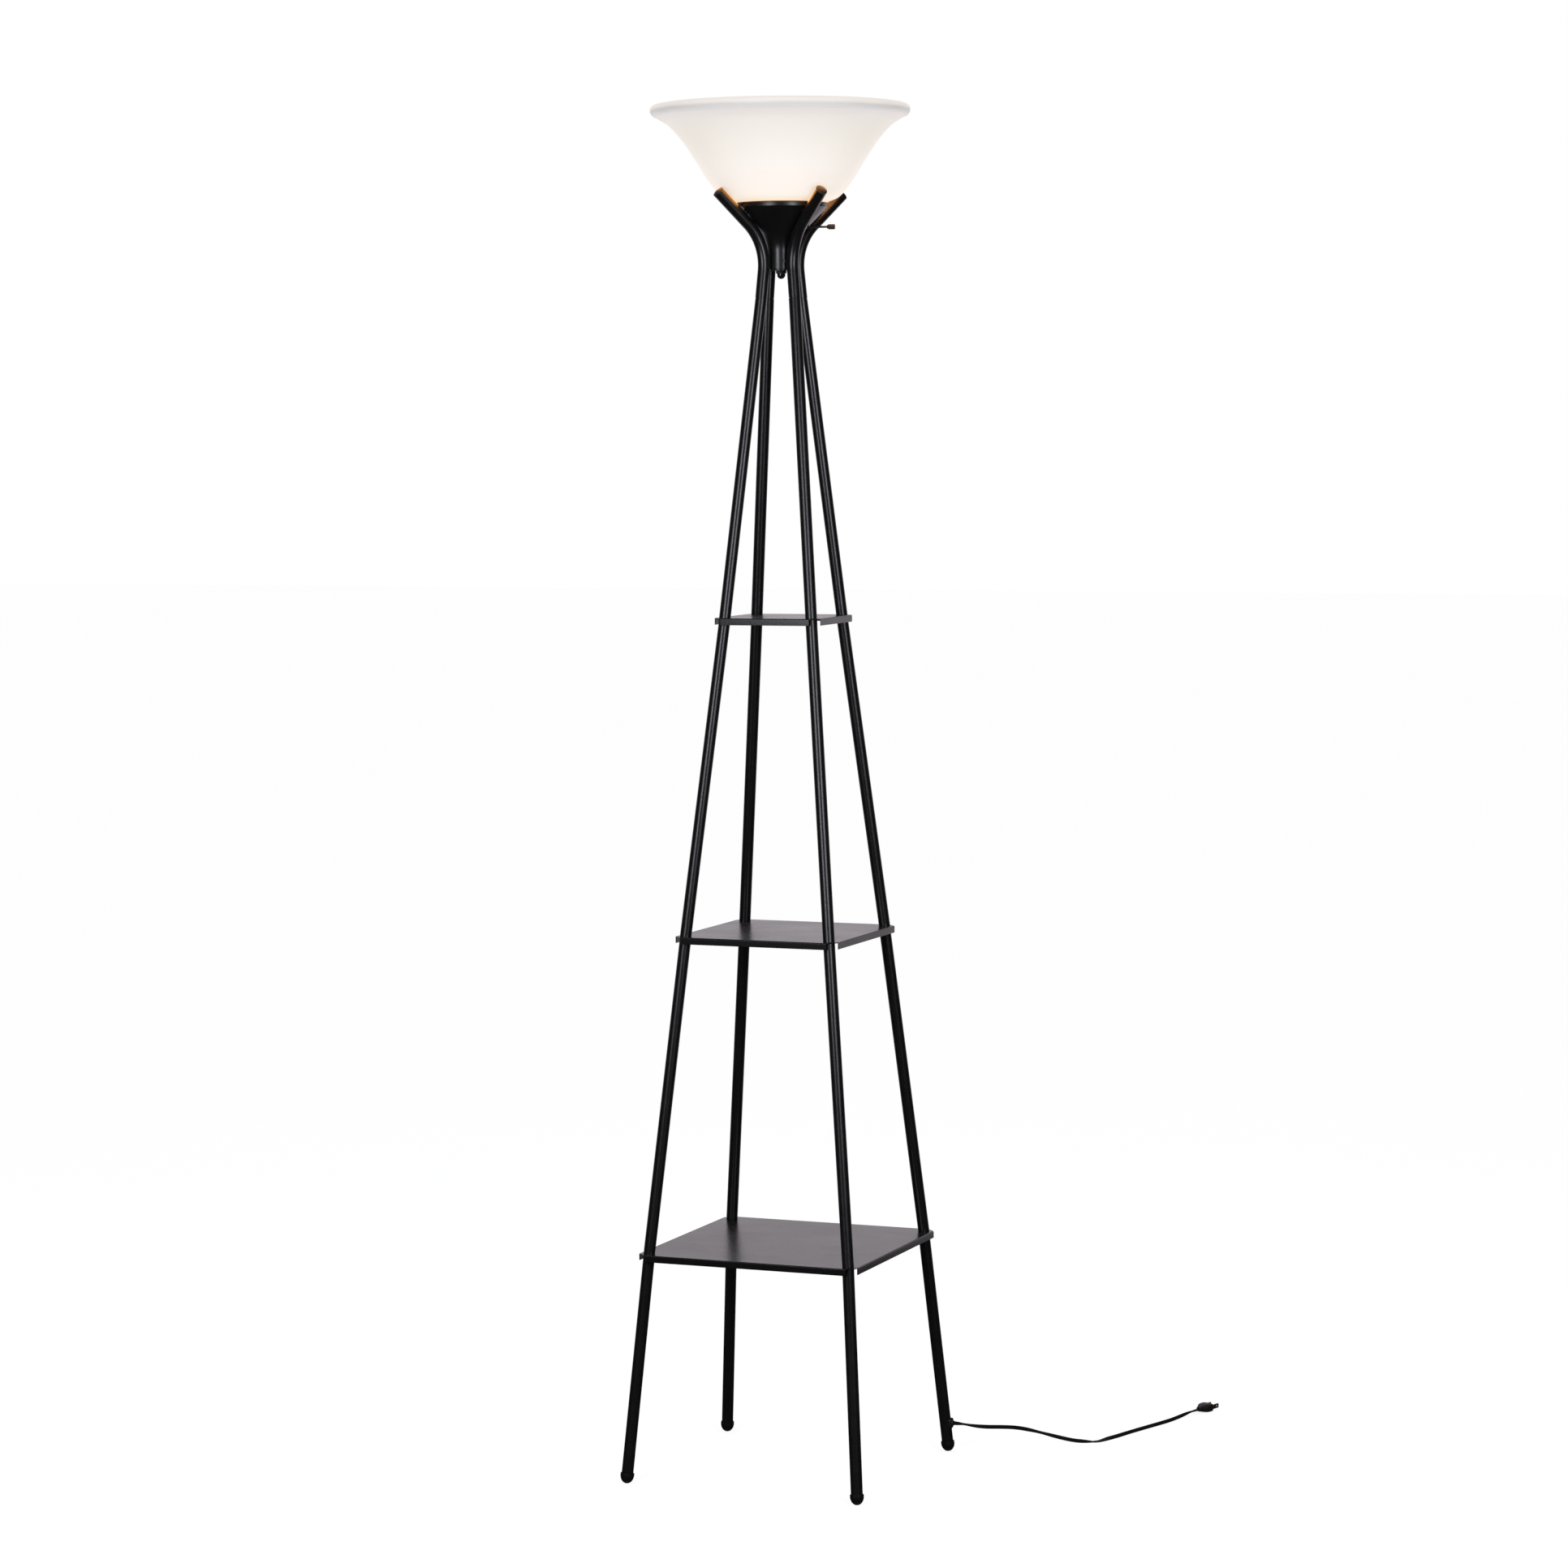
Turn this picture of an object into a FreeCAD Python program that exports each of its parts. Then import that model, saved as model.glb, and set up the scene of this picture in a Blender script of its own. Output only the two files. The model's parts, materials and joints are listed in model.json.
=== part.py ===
import FreeCAD, Part
import math
import os

Vector = FreeCAD.Vector

# A floor lamp. Four leaning tube legs carry three square shelves, and four curved arms hold a
# trumpet-shaped cup with a glass bowl shade. Millimetres, +Z up, floor at Z = 0, lamp axis at X = Y = 0.
# The front is -Y. Legs are named from the front.

# ---- levels ---------------------------------------------------------------------------------------
FOOT_SECTION_HEIGHT = 303.5      # floor to the top face of the bottom shelf
SHELF_SPACING = 416.3            # shelf to shelf, and top shelf to the arm seam

# ---- where the leg axes stand, as half the square's side, and how far each square is turned ---------
FLOOR_HALF_SPACING = 164.0
BOTTOM_HALF_SPACING = 140.1
MIDDLE_HALF_SPACING = 100.9
TOP_HALF_SPACING = 59.9
SEAM_HALF_SPACING = 22.3
FLOOR_TURN = -1.0                # degrees about Z
TOP_TURN = 2.0
HEAD_TURN = 10.3

# ---- tubes ----------------------------------------------------------------------------------------
TUBE_DIAMETER = 15.5
TUBE_WALL = 0.8
SEAM_GAP = 0.5                   # the fine dark line between leg and arm
SPIGOT_LENGTH = 26.0
SPIGOT_CLEARANCE = 0.35          # spigot to tube bore, on the radius
SPIGOT_BORE = 6.4
SPIGOT_HOLE_CLEARANCE = 0.3      # spigot to its hole in a shelf, on the radius

# ---- feet -----------------------------------------------------------------------------------------
FOOT_WALL = 1.35                 # how far the cap stands out from the tube
FOOT_COLLAR_HEIGHT = 4.9
FOOT_FLAT_DEPTH = 0.5            # the small flat pad moulded under the dome
FOOT_FIT = 0.15                  # tube to the cap's recess, on the radius
FOOT_SEAT_HEIGHT = 1.0           # recess floor above the dome's centre

# ---- shelves --------------------------------------------------------------------------------------
SHELF_OVERHANG = 14.0            # plate edge beyond the leg axes
SHEET_THICKNESS = 1.2
LIP_HEIGHT = 9.1
LIP_BEND_RADIUS = 1.6
CORNER_CUT = 12.6                # from the sheet's sharp corner, trimmed off, to each lip's end
RELIEF_WIDTH = 1.6               # the bend relief beside each lip's end
RELIEF_DEPTH = 2.6
LEG_SEAT_DEPTH = 0.2             # the shallow round seat pressed into the sheet under each leg
LEG_SEAT_CLEARANCE = 0.7         # seat to tube, on the radius

# ---- arms -----------------------------------------------------------------------------------------
THROAT_ABOVE_SEAM = 42.6         # where the four arms stand closest
ARM_BEND_RADIUS = 70.4
ARM_FLARE_ANGLE = 48.3           # degrees from upright
ARM_TIP_RUN = 61.3
END_CAP_DOME = 1.6
END_CAP_PLUG = 7.0
END_CAP_FIT = 0.1

# ---- cup ------------------------------------------------------------------------------------------
NECK_RADIUS = 18.1
NECK_GAP = 1.25                  # neck to arm at the throat
NECK_BELOW_THROAT = 5.7
NECK_HEIGHT = 21.2
CUP_WALL = 1.2
CUP_FLARE_RADIUS = 38.1
CUP_FLARE_ANGLE = 44.3
CUP_RIM_RADIUS = 61.0
CUP_BAND_HEIGHT = 6.6
CUP_BAND_STEP = 0.4

# ---- what fastens the cup -------------------------------------------------------------------------
SCREW_DIAMETER = 3.8
SCREW_CLEARANCE = 0.2
SCREW_HEAD_DIAMETER = 7.4
SCREW_HEAD_HEIGHT = 2.2
SCREW_DEPTH_IN_ARM = 4.0
SCREW_BELOW_RIM = 12.0
SPACER_DIAMETER = 7.0
SET_SCREW_DIAMETER = 3.0
SET_SCREW_HEAD_DIAMETER = 4.6
SET_SCREW_HEAD_HEIGHT = 2.4
SET_SCREW_HEIGHT = 11.0          # above the neck's bottom
SET_SCREW_ANGLE = -66.0          # degrees from the head's X axis
SET_SCREW_LENGTH = 8.0

# ---- nipple stack under the neck ------------------------------------------------------------------
NIPPLE_DIAMETER = 8.0
NIPPLE_BORE = 5.2
THREAD_CLEARANCE = 0.05
WASHER_DIAMETER = 32.0
WASHER_THICKNESS = 1.4
NUT_WIDTH = 13.0
NUT_HEIGHT = 3.7
DOME_NUT_DIAMETER = 10.8
DOME_NUT_HEIGHT = 7.1
NIPPLE_IN_DOME = 4.6

# ---- lamp socket ----------------------------------------------------------------------------------
SOCKET_ABOVE_NECK_BOTTOM = 26.7
SOCKET_DIAMETER = 33.2
SOCKET_SHEET = 0.5
SOCKET_CAP_HEIGHT = 18.0
SOCKET_CAP_ROUND = 4.0
SHELL_ABOVE_CAP_BOTTOM = 12.0
SHELL_LENGTH = 56.0
NEST_CLEARANCE = 0.1
SLEEVE_THICKNESS = 0.4
SWITCH_BODY_START = 20.0
SWITCH_BODY_LENGTH = 19.0
ROD_ABOVE_SWITCH_BOTTOM = 8.0
SCREW_SHELL_INNER_DIAMETER = 27.0
SCREW_SHELL_SHEET = 0.4
CONTACT_DIAMETER = 8.0
CONTACT_THICKNESS = 0.8
CONTACT_POST_HEIGHT = 1.4

# ---- rotary switch --------------------------------------------------------------------------------
ROD_DIAMETER = 2.6
ROD_RUNNING_CLEARANCE = 0.05
ROD_HOLE_CLEARANCE = 0.6
ROD_REACH = 61.5                 # lamp axis to the knob
ROD_IN_SWITCH = 9.0
KNOB_DIAMETER = 6.9
KNOB_LENGTH = 10.3
KNOB_NECK_DIAMETER = 5.0
KNOB_NECK_LENGTH = 1.6
KNOB_RIBS = 14
KNOB_RIB_DEPTH = 0.35
KNOB_ROD_DEPTH = 6.0

# ---- bulb -----------------------------------------------------------------------------------------
BULB_DIAMETER = 60.0
BULB_LENGTH = 108.0
BULB_CAP_DIAMETER = 26.0
BULB_CAP_LENGTH = 25.0
BULB_CAP_SHEET = 0.6
BULB_TIP_DIAMETER = 9.0
BULB_TIP_LENGTH = 2.4
BULB_NECK_DIAMETER = 24.0
BULB_GLASS = 0.8
BULB_CONTACT_GAP = 0.1
THREAD_RIDGES = 5
THREAD_PITCH = 3.6
THREAD_DEPTH = 0.6

# ---- glass shade, as radius and height above the ring where it sits on the cup ------------------------
SHADE_SEAT_CLEARANCE = 0.1
SHADE_GLASS = 3.6
SHADE_HOLE_RADIUS = 38.0
SHADE_BOTTOM = -6.0
SHADE_LOW_RADIUS = 49.5
SHADE_LOW = -4.0
SHADE_HIP = 7.4
SHADE_HIP_TO_ARM = 3.1           # level gap between the hip and the arms' inner sides
SHADE_BELL_1_INSIDE_TIP = 1.8    # where the bell passes over the arms' ends, in from their axes
SHADE_BELL_1 = 28.7
SHADE_BELL_2_RADIUS = 110.4
SHADE_BELL_2 = 54.0
SHADE_BELL_3_RADIUS = 127.0
SHADE_BELL_3 = 79.4
SHADE_BELL_4_RADIUS = 146.2
SHADE_BELL_4 = 100.7
SHADE_UNDER_RIM_RADIUS = 160.0
SHADE_UNDER_RIM = 109.6
SHADE_RIM_RADIUS = 169.8
SHADE_RIM_MIDDLE = 119.2
SHADE_TOP_RADIUS = 163.4
SHADE_HEIGHT = 126.6

# ---- leads ----------------------------------------------------------------------------------------
INNER_LEAD_DIAMETER = 3.4
INNER_LEAD_CLEARANCE = 0.45
INNER_LEAD_BEND = 8.6
LEAD_ENTRY_BELOW_NECK_TOP = 10.6  # where the lead crosses from the arm into the neck
LEAD_RISE_RADIUS = 9.8           # from the lamp axis, inside the neck
CORD_WIDTH = 5.4
CORD_EXIT_HEIGHT = 39.0
BUSHING_REACH = 4.4              # outward from the tube
BUSHING_FLANGE_THICKNESS = 2.0
BUSHING_HEIGHT = 14.0
BUSHING_WIDTH = 10.0
BUSHING_NOSE_DIAMETER = 8.6
BUSHING_SHANK_DIAMETER = 7.0

# ---- plug -----------------------------------------------------------------------------------------
PLUG_LENGTH = 24.0
PLUG_WIDTH = 21.0
PLUG_THICKNESS = 12.4
PLUG_TAIL_WIDTH = 9.0
PLUG_TAIL_LENGTH = 9.0
PLUG_EDGE = 2.2
BLADE_SPACING = 12.7
BLADE_WIDTH = 6.35
BLADE_THICKNESS = 1.5
BLADE_LENGTH = 15.9
BLADE_ROOT = 8.0

# The cord leaves the bushing straight along X, then passes these points, X, Y, Z, down to the floor.
CORD_FIRST_RUN = 12.0
CORD_POINTS = [
    (201.0, 164.2, 36.2),
    (214.0, 176.5, 33.0),
    (225.0, 204.0, 28.0),
    (236.0, 236.0, 21.5),
    (247.0, 262.5, 13.5),
    (267.0, 275.0, 6.6),
    (290.0, 272.5, 3.4),
    (313.0, 264.5, 2.8),
    (331.0, 267.5, 2.8),
    (344.0, 281.0, 2.8),
    (355.0, 304.0, 2.8),
    (368.0, 346.0, 2.8),
    (383.5, 391.0, 2.8),
    (396.0, 426.0, 2.8),
    (404.5, 452.5, 4.2),
    (411.5, 474.0, 6.2),
    (418.0, 494.0, 6.2),
]

CORNERS = {
    "front_left": (-1, -1),
    "front_right": (1, -1),
    "back_right": (1, 1),
    "back_left": (-1, 1),
}
CORD_CORNER = "back_right"

# ---- worked out -----------------------------------------------------------------------------------
BOTTOM_Z = FOOT_SECTION_HEIGHT
MIDDLE_Z = BOTTOM_Z + SHELF_SPACING
TOP_Z = MIDDLE_Z + SHELF_SPACING
SEAM_Z = TOP_Z + SHELF_SPACING
LEVELS = {
    "floor": (0.0, FLOOR_HALF_SPACING, FLOOR_TURN),
    "bottom": (BOTTOM_Z, BOTTOM_HALF_SPACING, 0.0),
    "middle": (MIDDLE_Z, MIDDLE_HALF_SPACING, 0.0),
    "top": (TOP_Z, TOP_HALF_SPACING, TOP_TURN),
    "seam": (SEAM_Z, SEAM_HALF_SPACING, HEAD_TURN),
}
TUBE_R = TUBE_DIAMETER / 2
BORE_R = TUBE_R - TUBE_WALL
SPIGOT_R = BORE_R - SPIGOT_CLEARANCE
FOOT_R = TUBE_R + FOOT_WALL
FOOT_CENTRE_Z = FOOT_R - FOOT_FLAT_DEPTH

THROAT_Z = SEAM_Z + THROAT_ABOVE_SEAM
THROAT_R = NECK_RADIUS + NECK_GAP + TUBE_R
NECK_BOTTOM_Z = THROAT_Z - NECK_BELOW_THROAT
NECK_TOP_Z = NECK_BOTTOM_Z + NECK_HEIGHT
CUP_FLARE = math.radians(CUP_FLARE_ANGLE)
CONE_START_R = NECK_RADIUS + CUP_FLARE_RADIUS * (1 - math.cos(CUP_FLARE))
CONE_START_Z = NECK_TOP_Z + CUP_FLARE_RADIUS * math.sin(CUP_FLARE)
CONE_END_R = CUP_RIM_RADIUS - CUP_BAND_STEP
CONE_END_Z = CONE_START_Z + (CONE_END_R - CONE_START_R) / math.tan(CUP_FLARE)
CUP_TOP_Z = CONE_END_Z + CUP_BAND_HEIGHT
SHADE_SEAT_Z = CUP_TOP_Z + SHADE_SEAT_CLEARANCE

SOCKET_Z = NECK_BOTTOM_Z + SOCKET_ABOVE_NECK_BOTTOM
SOCKET_R = SOCKET_DIAMETER / 2
SHELL_R = SOCKET_R - SOCKET_SHEET - NEST_CLEARANCE
SHELL_Z = SOCKET_Z + SHELL_ABOVE_CAP_BOTTOM
SHELL_TOP_Z = SHELL_Z + SHELL_LENGTH
SLEEVE_R = SHELL_R - SOCKET_SHEET - NEST_CLEARANCE
SWITCH_R = SLEEVE_R - SLEEVE_THICKNESS - NEST_CLEARANCE
SWITCH_Z = SOCKET_Z + SWITCH_BODY_START
SWITCH_TOP_Z = SWITCH_Z + SWITCH_BODY_LENGTH
ROD_Z = SWITCH_Z + ROD_ABOVE_SWITCH_BOTTOM
SCREW_SHELL_R = SCREW_SHELL_INNER_DIAMETER / 2 + SCREW_SHELL_SHEET
BULB_Z = SWITCH_TOP_Z + CONTACT_POST_HEIGHT + CONTACT_THICKNESS + BULB_CONTACT_GAP

LEAD_R = INNER_LEAD_DIAMETER / 2
LEAD_HOLE_R = LEAD_R + INNER_LEAD_CLEARANCE
LEAD_ENTRY_Z = NECK_TOP_Z - LEAD_ENTRY_BELOW_NECK_TOP


# ---- helpers --------------------------------------------------------------------------------------
def turned(x, y, z, degrees):
    """A point turned about the lamp axis."""
    angle = math.radians(degrees)
    return Vector(
        x * math.cos(angle) - y * math.sin(angle),
        x * math.sin(angle) + y * math.cos(angle),
        z,
    )


def leg_point(level, corner):
    """Where a leg's axis crosses a level."""
    height, half, turn = LEVELS[level]
    side_x, side_y = CORNERS[corner]
    return turned(side_x * half, side_y * half, height, turn)


def arm_angle(corner):
    """The direction in which a corner's arm flares, in degrees from the X axis."""
    side_x, side_y = CORNERS[corner]
    return math.degrees(math.atan2(side_y, side_x)) + HEAD_TURN


def unit(vector):
    result = Vector(vector)
    result.normalize()
    return result


def rod(start, end, radius):
    """A round bar between two points."""
    along = end - start
    return Part.makeCylinder(radius, along.Length, start, along)


def pipe(start, end, outer, inner):
    """A straight tube between two points."""
    overshoot = unit(end - start)
    return rod(start, end, outer).cut(rod(start - overshoot, end + overshoot, inner))


def slab(low, high):
    """Everything between two heights."""
    reach = 4 * FLOOR_HALF_SPACING
    return Part.makeBox(2 * reach, 2 * reach, high - low, Vector(-reach, -reach, low))


def lathe(edges):
    """A solid turned about the lamp axis from a closed outline in the XZ plane."""
    face = Part.Face(Part.Wire(Part.__sortEdges__(edges)))
    return face.revolve(Vector(0, 0, 0), Vector(0, 0, 1), 360)


def polygon(points):
    """Straight edges through (radius, height) points, closed."""
    corners = [Vector(x, 0, z) for x, z in points]
    return [Part.LineSegment(a, b).toShape() for a, b in zip(corners, corners[1:] + corners[:1])]


def line(a, b):
    return Part.LineSegment(Vector(a[0], 0, a[1]), Vector(b[0], 0, b[1])).toShape()


def arc(a, middle, b):
    points = [Vector(p[0], 0, p[1]) for p in (a, middle, b)]
    return Part.Arc(*points).toShape()


def curve(points):
    """A smooth edge through (radius, height) points."""
    spline = Part.BSplineCurve()
    spline.interpolate([Vector(x, 0, z) for x, z in points])
    return spline.toShape()


def offset_points(points, distance):
    """The same row of points, moved sideways towards the lamp axis and up."""
    moved = []
    for index, (x, z) in enumerate(points):
        before = points[max(index - 1, 0)]
        after = points[min(index + 1, len(points) - 1)]
        run = math.hypot(after[0] - before[0], after[1] - before[1])
        moved.append((
            x - distance * (after[1] - before[1]) / run,
            z + distance * (after[0] - before[0]) / run,
        ))
    return moved


def hexagon(width, low, high, bore):
    """A hexagonal nut on the lamp axis."""
    radius = width / math.sqrt(3)
    corners = [
        Vector(radius * math.cos(math.radians(60 * k)), radius * math.sin(math.radians(60 * k)), low)
        for k in range(6)
    ]
    face = Part.Face(Part.makePolygon(corners + corners[:1]))
    solid = face.extrude(Vector(0, 0, high - low))
    return solid.cut(Part.makeCylinder(bore, high - low, Vector(0, 0, low)))


def ring(outer, inner, low, high):
    """A plain ring on the lamp axis."""
    body = Part.makeCylinder(outer, high - low, Vector(0, 0, low))
    return body.cut(Part.makeCylinder(inner, high - low, Vector(0, 0, low)))


def head(shape, degrees=HEAD_TURN):
    """Turns a shape about the lamp axis with the head."""
    placed = shape.copy()
    placed.rotate(Vector(0, 0, 0), Vector(0, 0, 1), degrees)
    return placed


def rounded_path(points, radii):
    """Straight runs joined by tangent arcs, as one wire."""
    edges = []
    start = points[0]
    for before, corner, after, radius in zip(points, points[1:], points[2:], radii):
        arriving = unit(corner - before)
        leaving = unit(after - corner)
        turn = arriving.getAngle(leaving)
        tangent = radius * math.tan(turn / 2)
        enter = corner - arriving * tangent
        leave = corner + leaving * tangent
        inward = unit(leaving - arriving)
        middle = corner + inward * (radius / math.cos(turn / 2) - radius)
        edges.append(Part.LineSegment(start, enter).toShape())
        edges.append(Part.Arc(enter, middle, leave).toShape())
        start = leave
    edges.append(Part.LineSegment(start, points[-1]).toShape())
    return Part.Wire(edges)


def swept(path, radius, start, direction):
    """A round section carried along a path."""
    section = Part.Wire(Part.makeCircle(radius, start, direction))
    return path.makePipeShell([section], True, False)


def cord_radii(points):
    """The largest arc that each corner's runs allow."""
    radii = []
    for before, corner, after in zip(points, points[1:], points[2:]):
        first = corner - before
        second = after - corner
        turn = first.getAngle(second)
        radii.append(0.45 * min(first.Length, second.Length) / math.tan(turn / 2))
    return radii


def save(name, *solids):
    """Writes one node."""
    shape = solids[0] if len(solids) == 1 else Part.makeCompound(list(solids))
    shape.exportStep("parts/" + name + ".step")


# ---- legs, feet and spigots -------------------------------------------------------------------------
def foot_frame(corner):
    """The dome's centre and the leg's direction there."""
    base = leg_point("floor", corner)
    along = unit(leg_point("bottom", corner) - base)
    return base + along * (FOOT_CENTRE_Z / along.z), along


def foot(corner):
    """A rubber cap: a dome with a collar round the tube's end."""
    centre, along = foot_frame(corner)
    dome = Part.makeSphere(FOOT_R, centre)
    collar = Part.makeCylinder(FOOT_R, FOOT_COLLAR_HEIGHT, centre, along)
    seat = centre + along * FOOT_SEAT_HEIGHT
    above = Part.makeCylinder(FOOT_R + FOOT_WALL, 2 * FOOT_R, centre, along)
    recess = Part.makeCylinder(TUBE_R + FOOT_FIT, FOOT_COLLAR_HEIGHT, seat, along)
    cap = dome.cut(above).fuse(collar).removeSplitter()
    return cap.cut(recess).cut(slab(-FOOT_R, 0.0))


def leg_direction(lower, upper, corner):
    return unit(leg_point(upper, corner) - leg_point(lower, corner))


def foot_tube(corner):
    """From the foot cap to the underside of the bottom shelf."""
    centre, along = foot_frame(corner)
    start = centre + along * FOOT_SEAT_HEIGHT
    end = leg_point("bottom", corner) + along * TUBE_DIAMETER
    tube = pipe(start, end, TUBE_R, BORE_R)
    tube = tube.cut(slab(BOTTOM_Z - SHEET_THICKNESS, BOTTOM_Z + 2 * TUBE_DIAMETER))
    if corner == CORD_CORNER:
        mouth = cord_exit_axis()
        tube = tube.cut(rod(mouth, mouth + Vector(TUBE_DIAMETER, 0, 0), BUSHING_SHANK_DIAMETER / 2))
    return tube


def leg_tube(lower, upper, corner, gap_above):
    """A leg section between two levels, cut level at both ends."""
    along = leg_direction(lower, upper, corner)
    start = leg_point(lower, corner) - along * TUBE_DIAMETER
    end = leg_point(upper, corner) + along * TUBE_DIAMETER
    seat_z = LEVELS[lower][0] - LEG_SEAT_DEPTH
    return pipe(start, end, TUBE_R, BORE_R).common(slab(seat_z, LEVELS[upper][0] - gap_above))


def spigot(corner, level, below, above):
    """A hollow threaded stud that joins two tube ends, through the shelf where there is one."""
    centre = leg_point(level, corner)
    along = unit(below + above)
    half = along * (SPIGOT_LENGTH / 2)
    return pipe(centre - half, centre + half, SPIGOT_R, SPIGOT_BORE / 2)


def spigots(lower, level, upper):
    return [
        spigot(corner, level, leg_direction(lower, level, corner), leg_direction(level, upper, corner))
        for corner in CORNERS
    ]


def arm_spigots():
    result = []
    for corner in CORNERS:
        above = unit(arm_points(corner)[1] - arm_points(corner)[0])
        result.append(spigot(corner, "seam", leg_direction("top", "seam", corner), above))
    return result


# ---- shelves --------------------------------------------------------------------------------------
def shelf_lip(half, top):
    """The front lip: bent down from the plate, with its rounded edge."""
    run = half - CORNER_CUT
    inner_radius = LIP_BEND_RADIUS - SHEET_THICKNESS
    bend_y = -half + LIP_BEND_RADIUS
    bend_z = top - LIP_BEND_RADIUS
    bend = Part.makeCylinder(LIP_BEND_RADIUS, 2 * run, Vector(-run, bend_y, bend_z), Vector(1, 0, 0))
    bend = bend.cut(Part.makeCylinder(inner_radius, 2 * run, Vector(-run, bend_y, bend_z), Vector(1, 0, 0)))
    quarter = Part.makeBox(2 * run, LIP_BEND_RADIUS, LIP_BEND_RADIUS, Vector(-run, -half, bend_z))
    wall_height = LIP_HEIGHT - LIP_BEND_RADIUS
    wall = Part.makeBox(2 * run, SHEET_THICKNESS, wall_height, Vector(-run, -half, top - LIP_HEIGHT))
    return bend.common(quarter).fuse(wall)


def corner_waste(half, top):
    """The triangle trimmed off the front right corner, between two lips' ends."""
    low = top - LIP_HEIGHT / 2
    points = [
        Vector(half - CORNER_CUT - RELIEF_WIDTH, -half - RELIEF_WIDTH, low),
        Vector(half + RELIEF_WIDTH, -half - RELIEF_WIDTH, low),
        Vector(half + RELIEF_WIDTH, -half + CORNER_CUT + RELIEF_WIDTH, low),
    ]
    return Part.Face(Part.makePolygon(points + points[:1])).extrude(Vector(0, 0, LIP_HEIGHT))


def shelf_plate(half, top):
    """The flat of the shelf, with trimmed corners and relief notches beside the lips."""
    plate = Part.makeBox(2 * half, 2 * half, SHEET_THICKNESS, Vector(-half, -half, top - SHEET_THICKNESS))
    run = half - CORNER_CUT
    cutters = []
    for quarter in range(4):
        strip = Part.makeBox(2 * run, LIP_BEND_RADIUS, LIP_HEIGHT, Vector(-run, -half, top - LIP_HEIGHT / 2))
        left = Part.makeBox(RELIEF_WIDTH, RELIEF_DEPTH, LIP_HEIGHT,
                            Vector(-run - RELIEF_WIDTH, -half, top - LIP_HEIGHT / 2))
        right = Part.makeBox(RELIEF_WIDTH, RELIEF_DEPTH, LIP_HEIGHT, Vector(run, -half, top - LIP_HEIGHT / 2))
        cutters += [head(shape, 90 * quarter) for shape in (strip, left, right, corner_waste(half, top))]
    return plate.cut(Part.makeCompound(cutters))


def shelf(level, below, above):
    """A folded sheet-steel shelf with a hole and a shallow seat at each leg."""
    top, half_spacing, turn = LEVELS[level]
    half = half_spacing + SHELF_OVERHANG
    lips = [head(shelf_lip(half, top), 90 * quarter) for quarter in range(4)]
    folded = head(shelf_plate(half, top).multiFuse(lips).removeSplitter(), turn)
    for corner in CORNERS:
        along = unit(leg_direction(below, level, corner) + leg_direction(level, above, corner))
        centre = leg_point(level, corner)
        hole = rod(centre - along * TUBE_R, centre + along * TUBE_R, SPIGOT_R + SPIGOT_HOLE_CLEARANCE)
        seat = Part.makeCylinder(TUBE_R + LEG_SEAT_CLEARANCE, TUBE_R, centre - Vector(0, 0, LEG_SEAT_DEPTH))
        folded = folded.cut(hole).cut(seat)
    return folded


# ---- arms -----------------------------------------------------------------------------------------
def arm_profile():
    """The arm's centre line as (radius, height): seam, bend start, bend middle, bend end, tip."""
    seam_r = SEAM_HALF_SPACING * math.sqrt(2)
    centre_r = THROAT_R + ARM_BEND_RADIUS
    across = centre_r - seam_r
    up = THROAT_Z - SEAM_Z
    away = math.hypot(across, up)
    lean = math.atan2(across, up) - math.asin(ARM_BEND_RADIUS / away)
    flare = math.radians(ARM_FLARE_ANGLE)

    def on_bend(angle):
        return (centre_r - ARM_BEND_RADIUS * math.cos(angle), THROAT_Z + ARM_BEND_RADIUS * math.sin(angle))

    start = on_bend(lean)
    end = on_bend(flare)
    tip = (end[0] + ARM_TIP_RUN * math.sin(flare), end[1] + ARM_TIP_RUN * math.cos(flare))
    return [(seam_r, SEAM_Z), start, on_bend((lean + flare) / 2), end, tip]


def arm_inner_radius(height):
    """How far the arms' inner sides stand from the lamp axis at a height on their straight ends."""
    end, tip = arm_profile()[3:]
    flare = math.radians(ARM_FLARE_ANGLE)
    return end[0] + (height - end[1]) * math.tan(flare) - TUBE_R / math.cos(flare)


def arm_points(corner):
    return [turned(radius, 0, height, arm_angle(corner)) for radius, height in arm_profile()]


def arm_wire(corner, overshoot):
    """The arm's centre line, lengthened past both ends."""
    seam, start, middle, end, tip = arm_points(corner)
    low = seam - unit(start - seam) * overshoot
    high = tip + unit(tip - end) * overshoot
    edges = [
        Part.LineSegment(low, start).toShape(),
        Part.Arc(start, middle, end).toShape(),
        Part.LineSegment(end, high).toShape(),
    ]
    return Part.Wire(edges), low, unit(start - low)


def arm_tip_plane(corner):
    """The tip's centre and outward direction."""
    points = arm_points(corner)
    return points[-1], unit(points[-1] - points[-2])


def arm_bar(corner, radius):
    """A solid bar along the arm, square at the tip and level at the seam."""
    path, start, direction = arm_wire(corner, TUBE_DIAMETER)
    bar = swept(path, radius, start, direction)
    tip, outward = arm_tip_plane(corner)
    beyond = Part.makeCylinder(TUBE_DIAMETER, 2 * TUBE_DIAMETER, tip, outward)
    return bar.cut(beyond).cut(slab(SEAM_Z - 2 * TUBE_DIAMETER, SEAM_Z))


def arm(corner):
    """A curved tube with its screw hole, and on the cord's corner the lead's way into the neck."""
    tube = arm_bar(corner, TUBE_R).cut(arm_bar(corner, BORE_R))
    seat, inward = screw_axis(corner)
    tube = tube.cut(rod(seat + inward * SCREW_DIAMETER, seat + inward * 2 * TUBE_R,
                        SCREW_DIAMETER / 2 + THREAD_CLEARANCE))
    if corner == CORD_CORNER:
        tube = tube.cut(lead_passage())
    return tube


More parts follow.
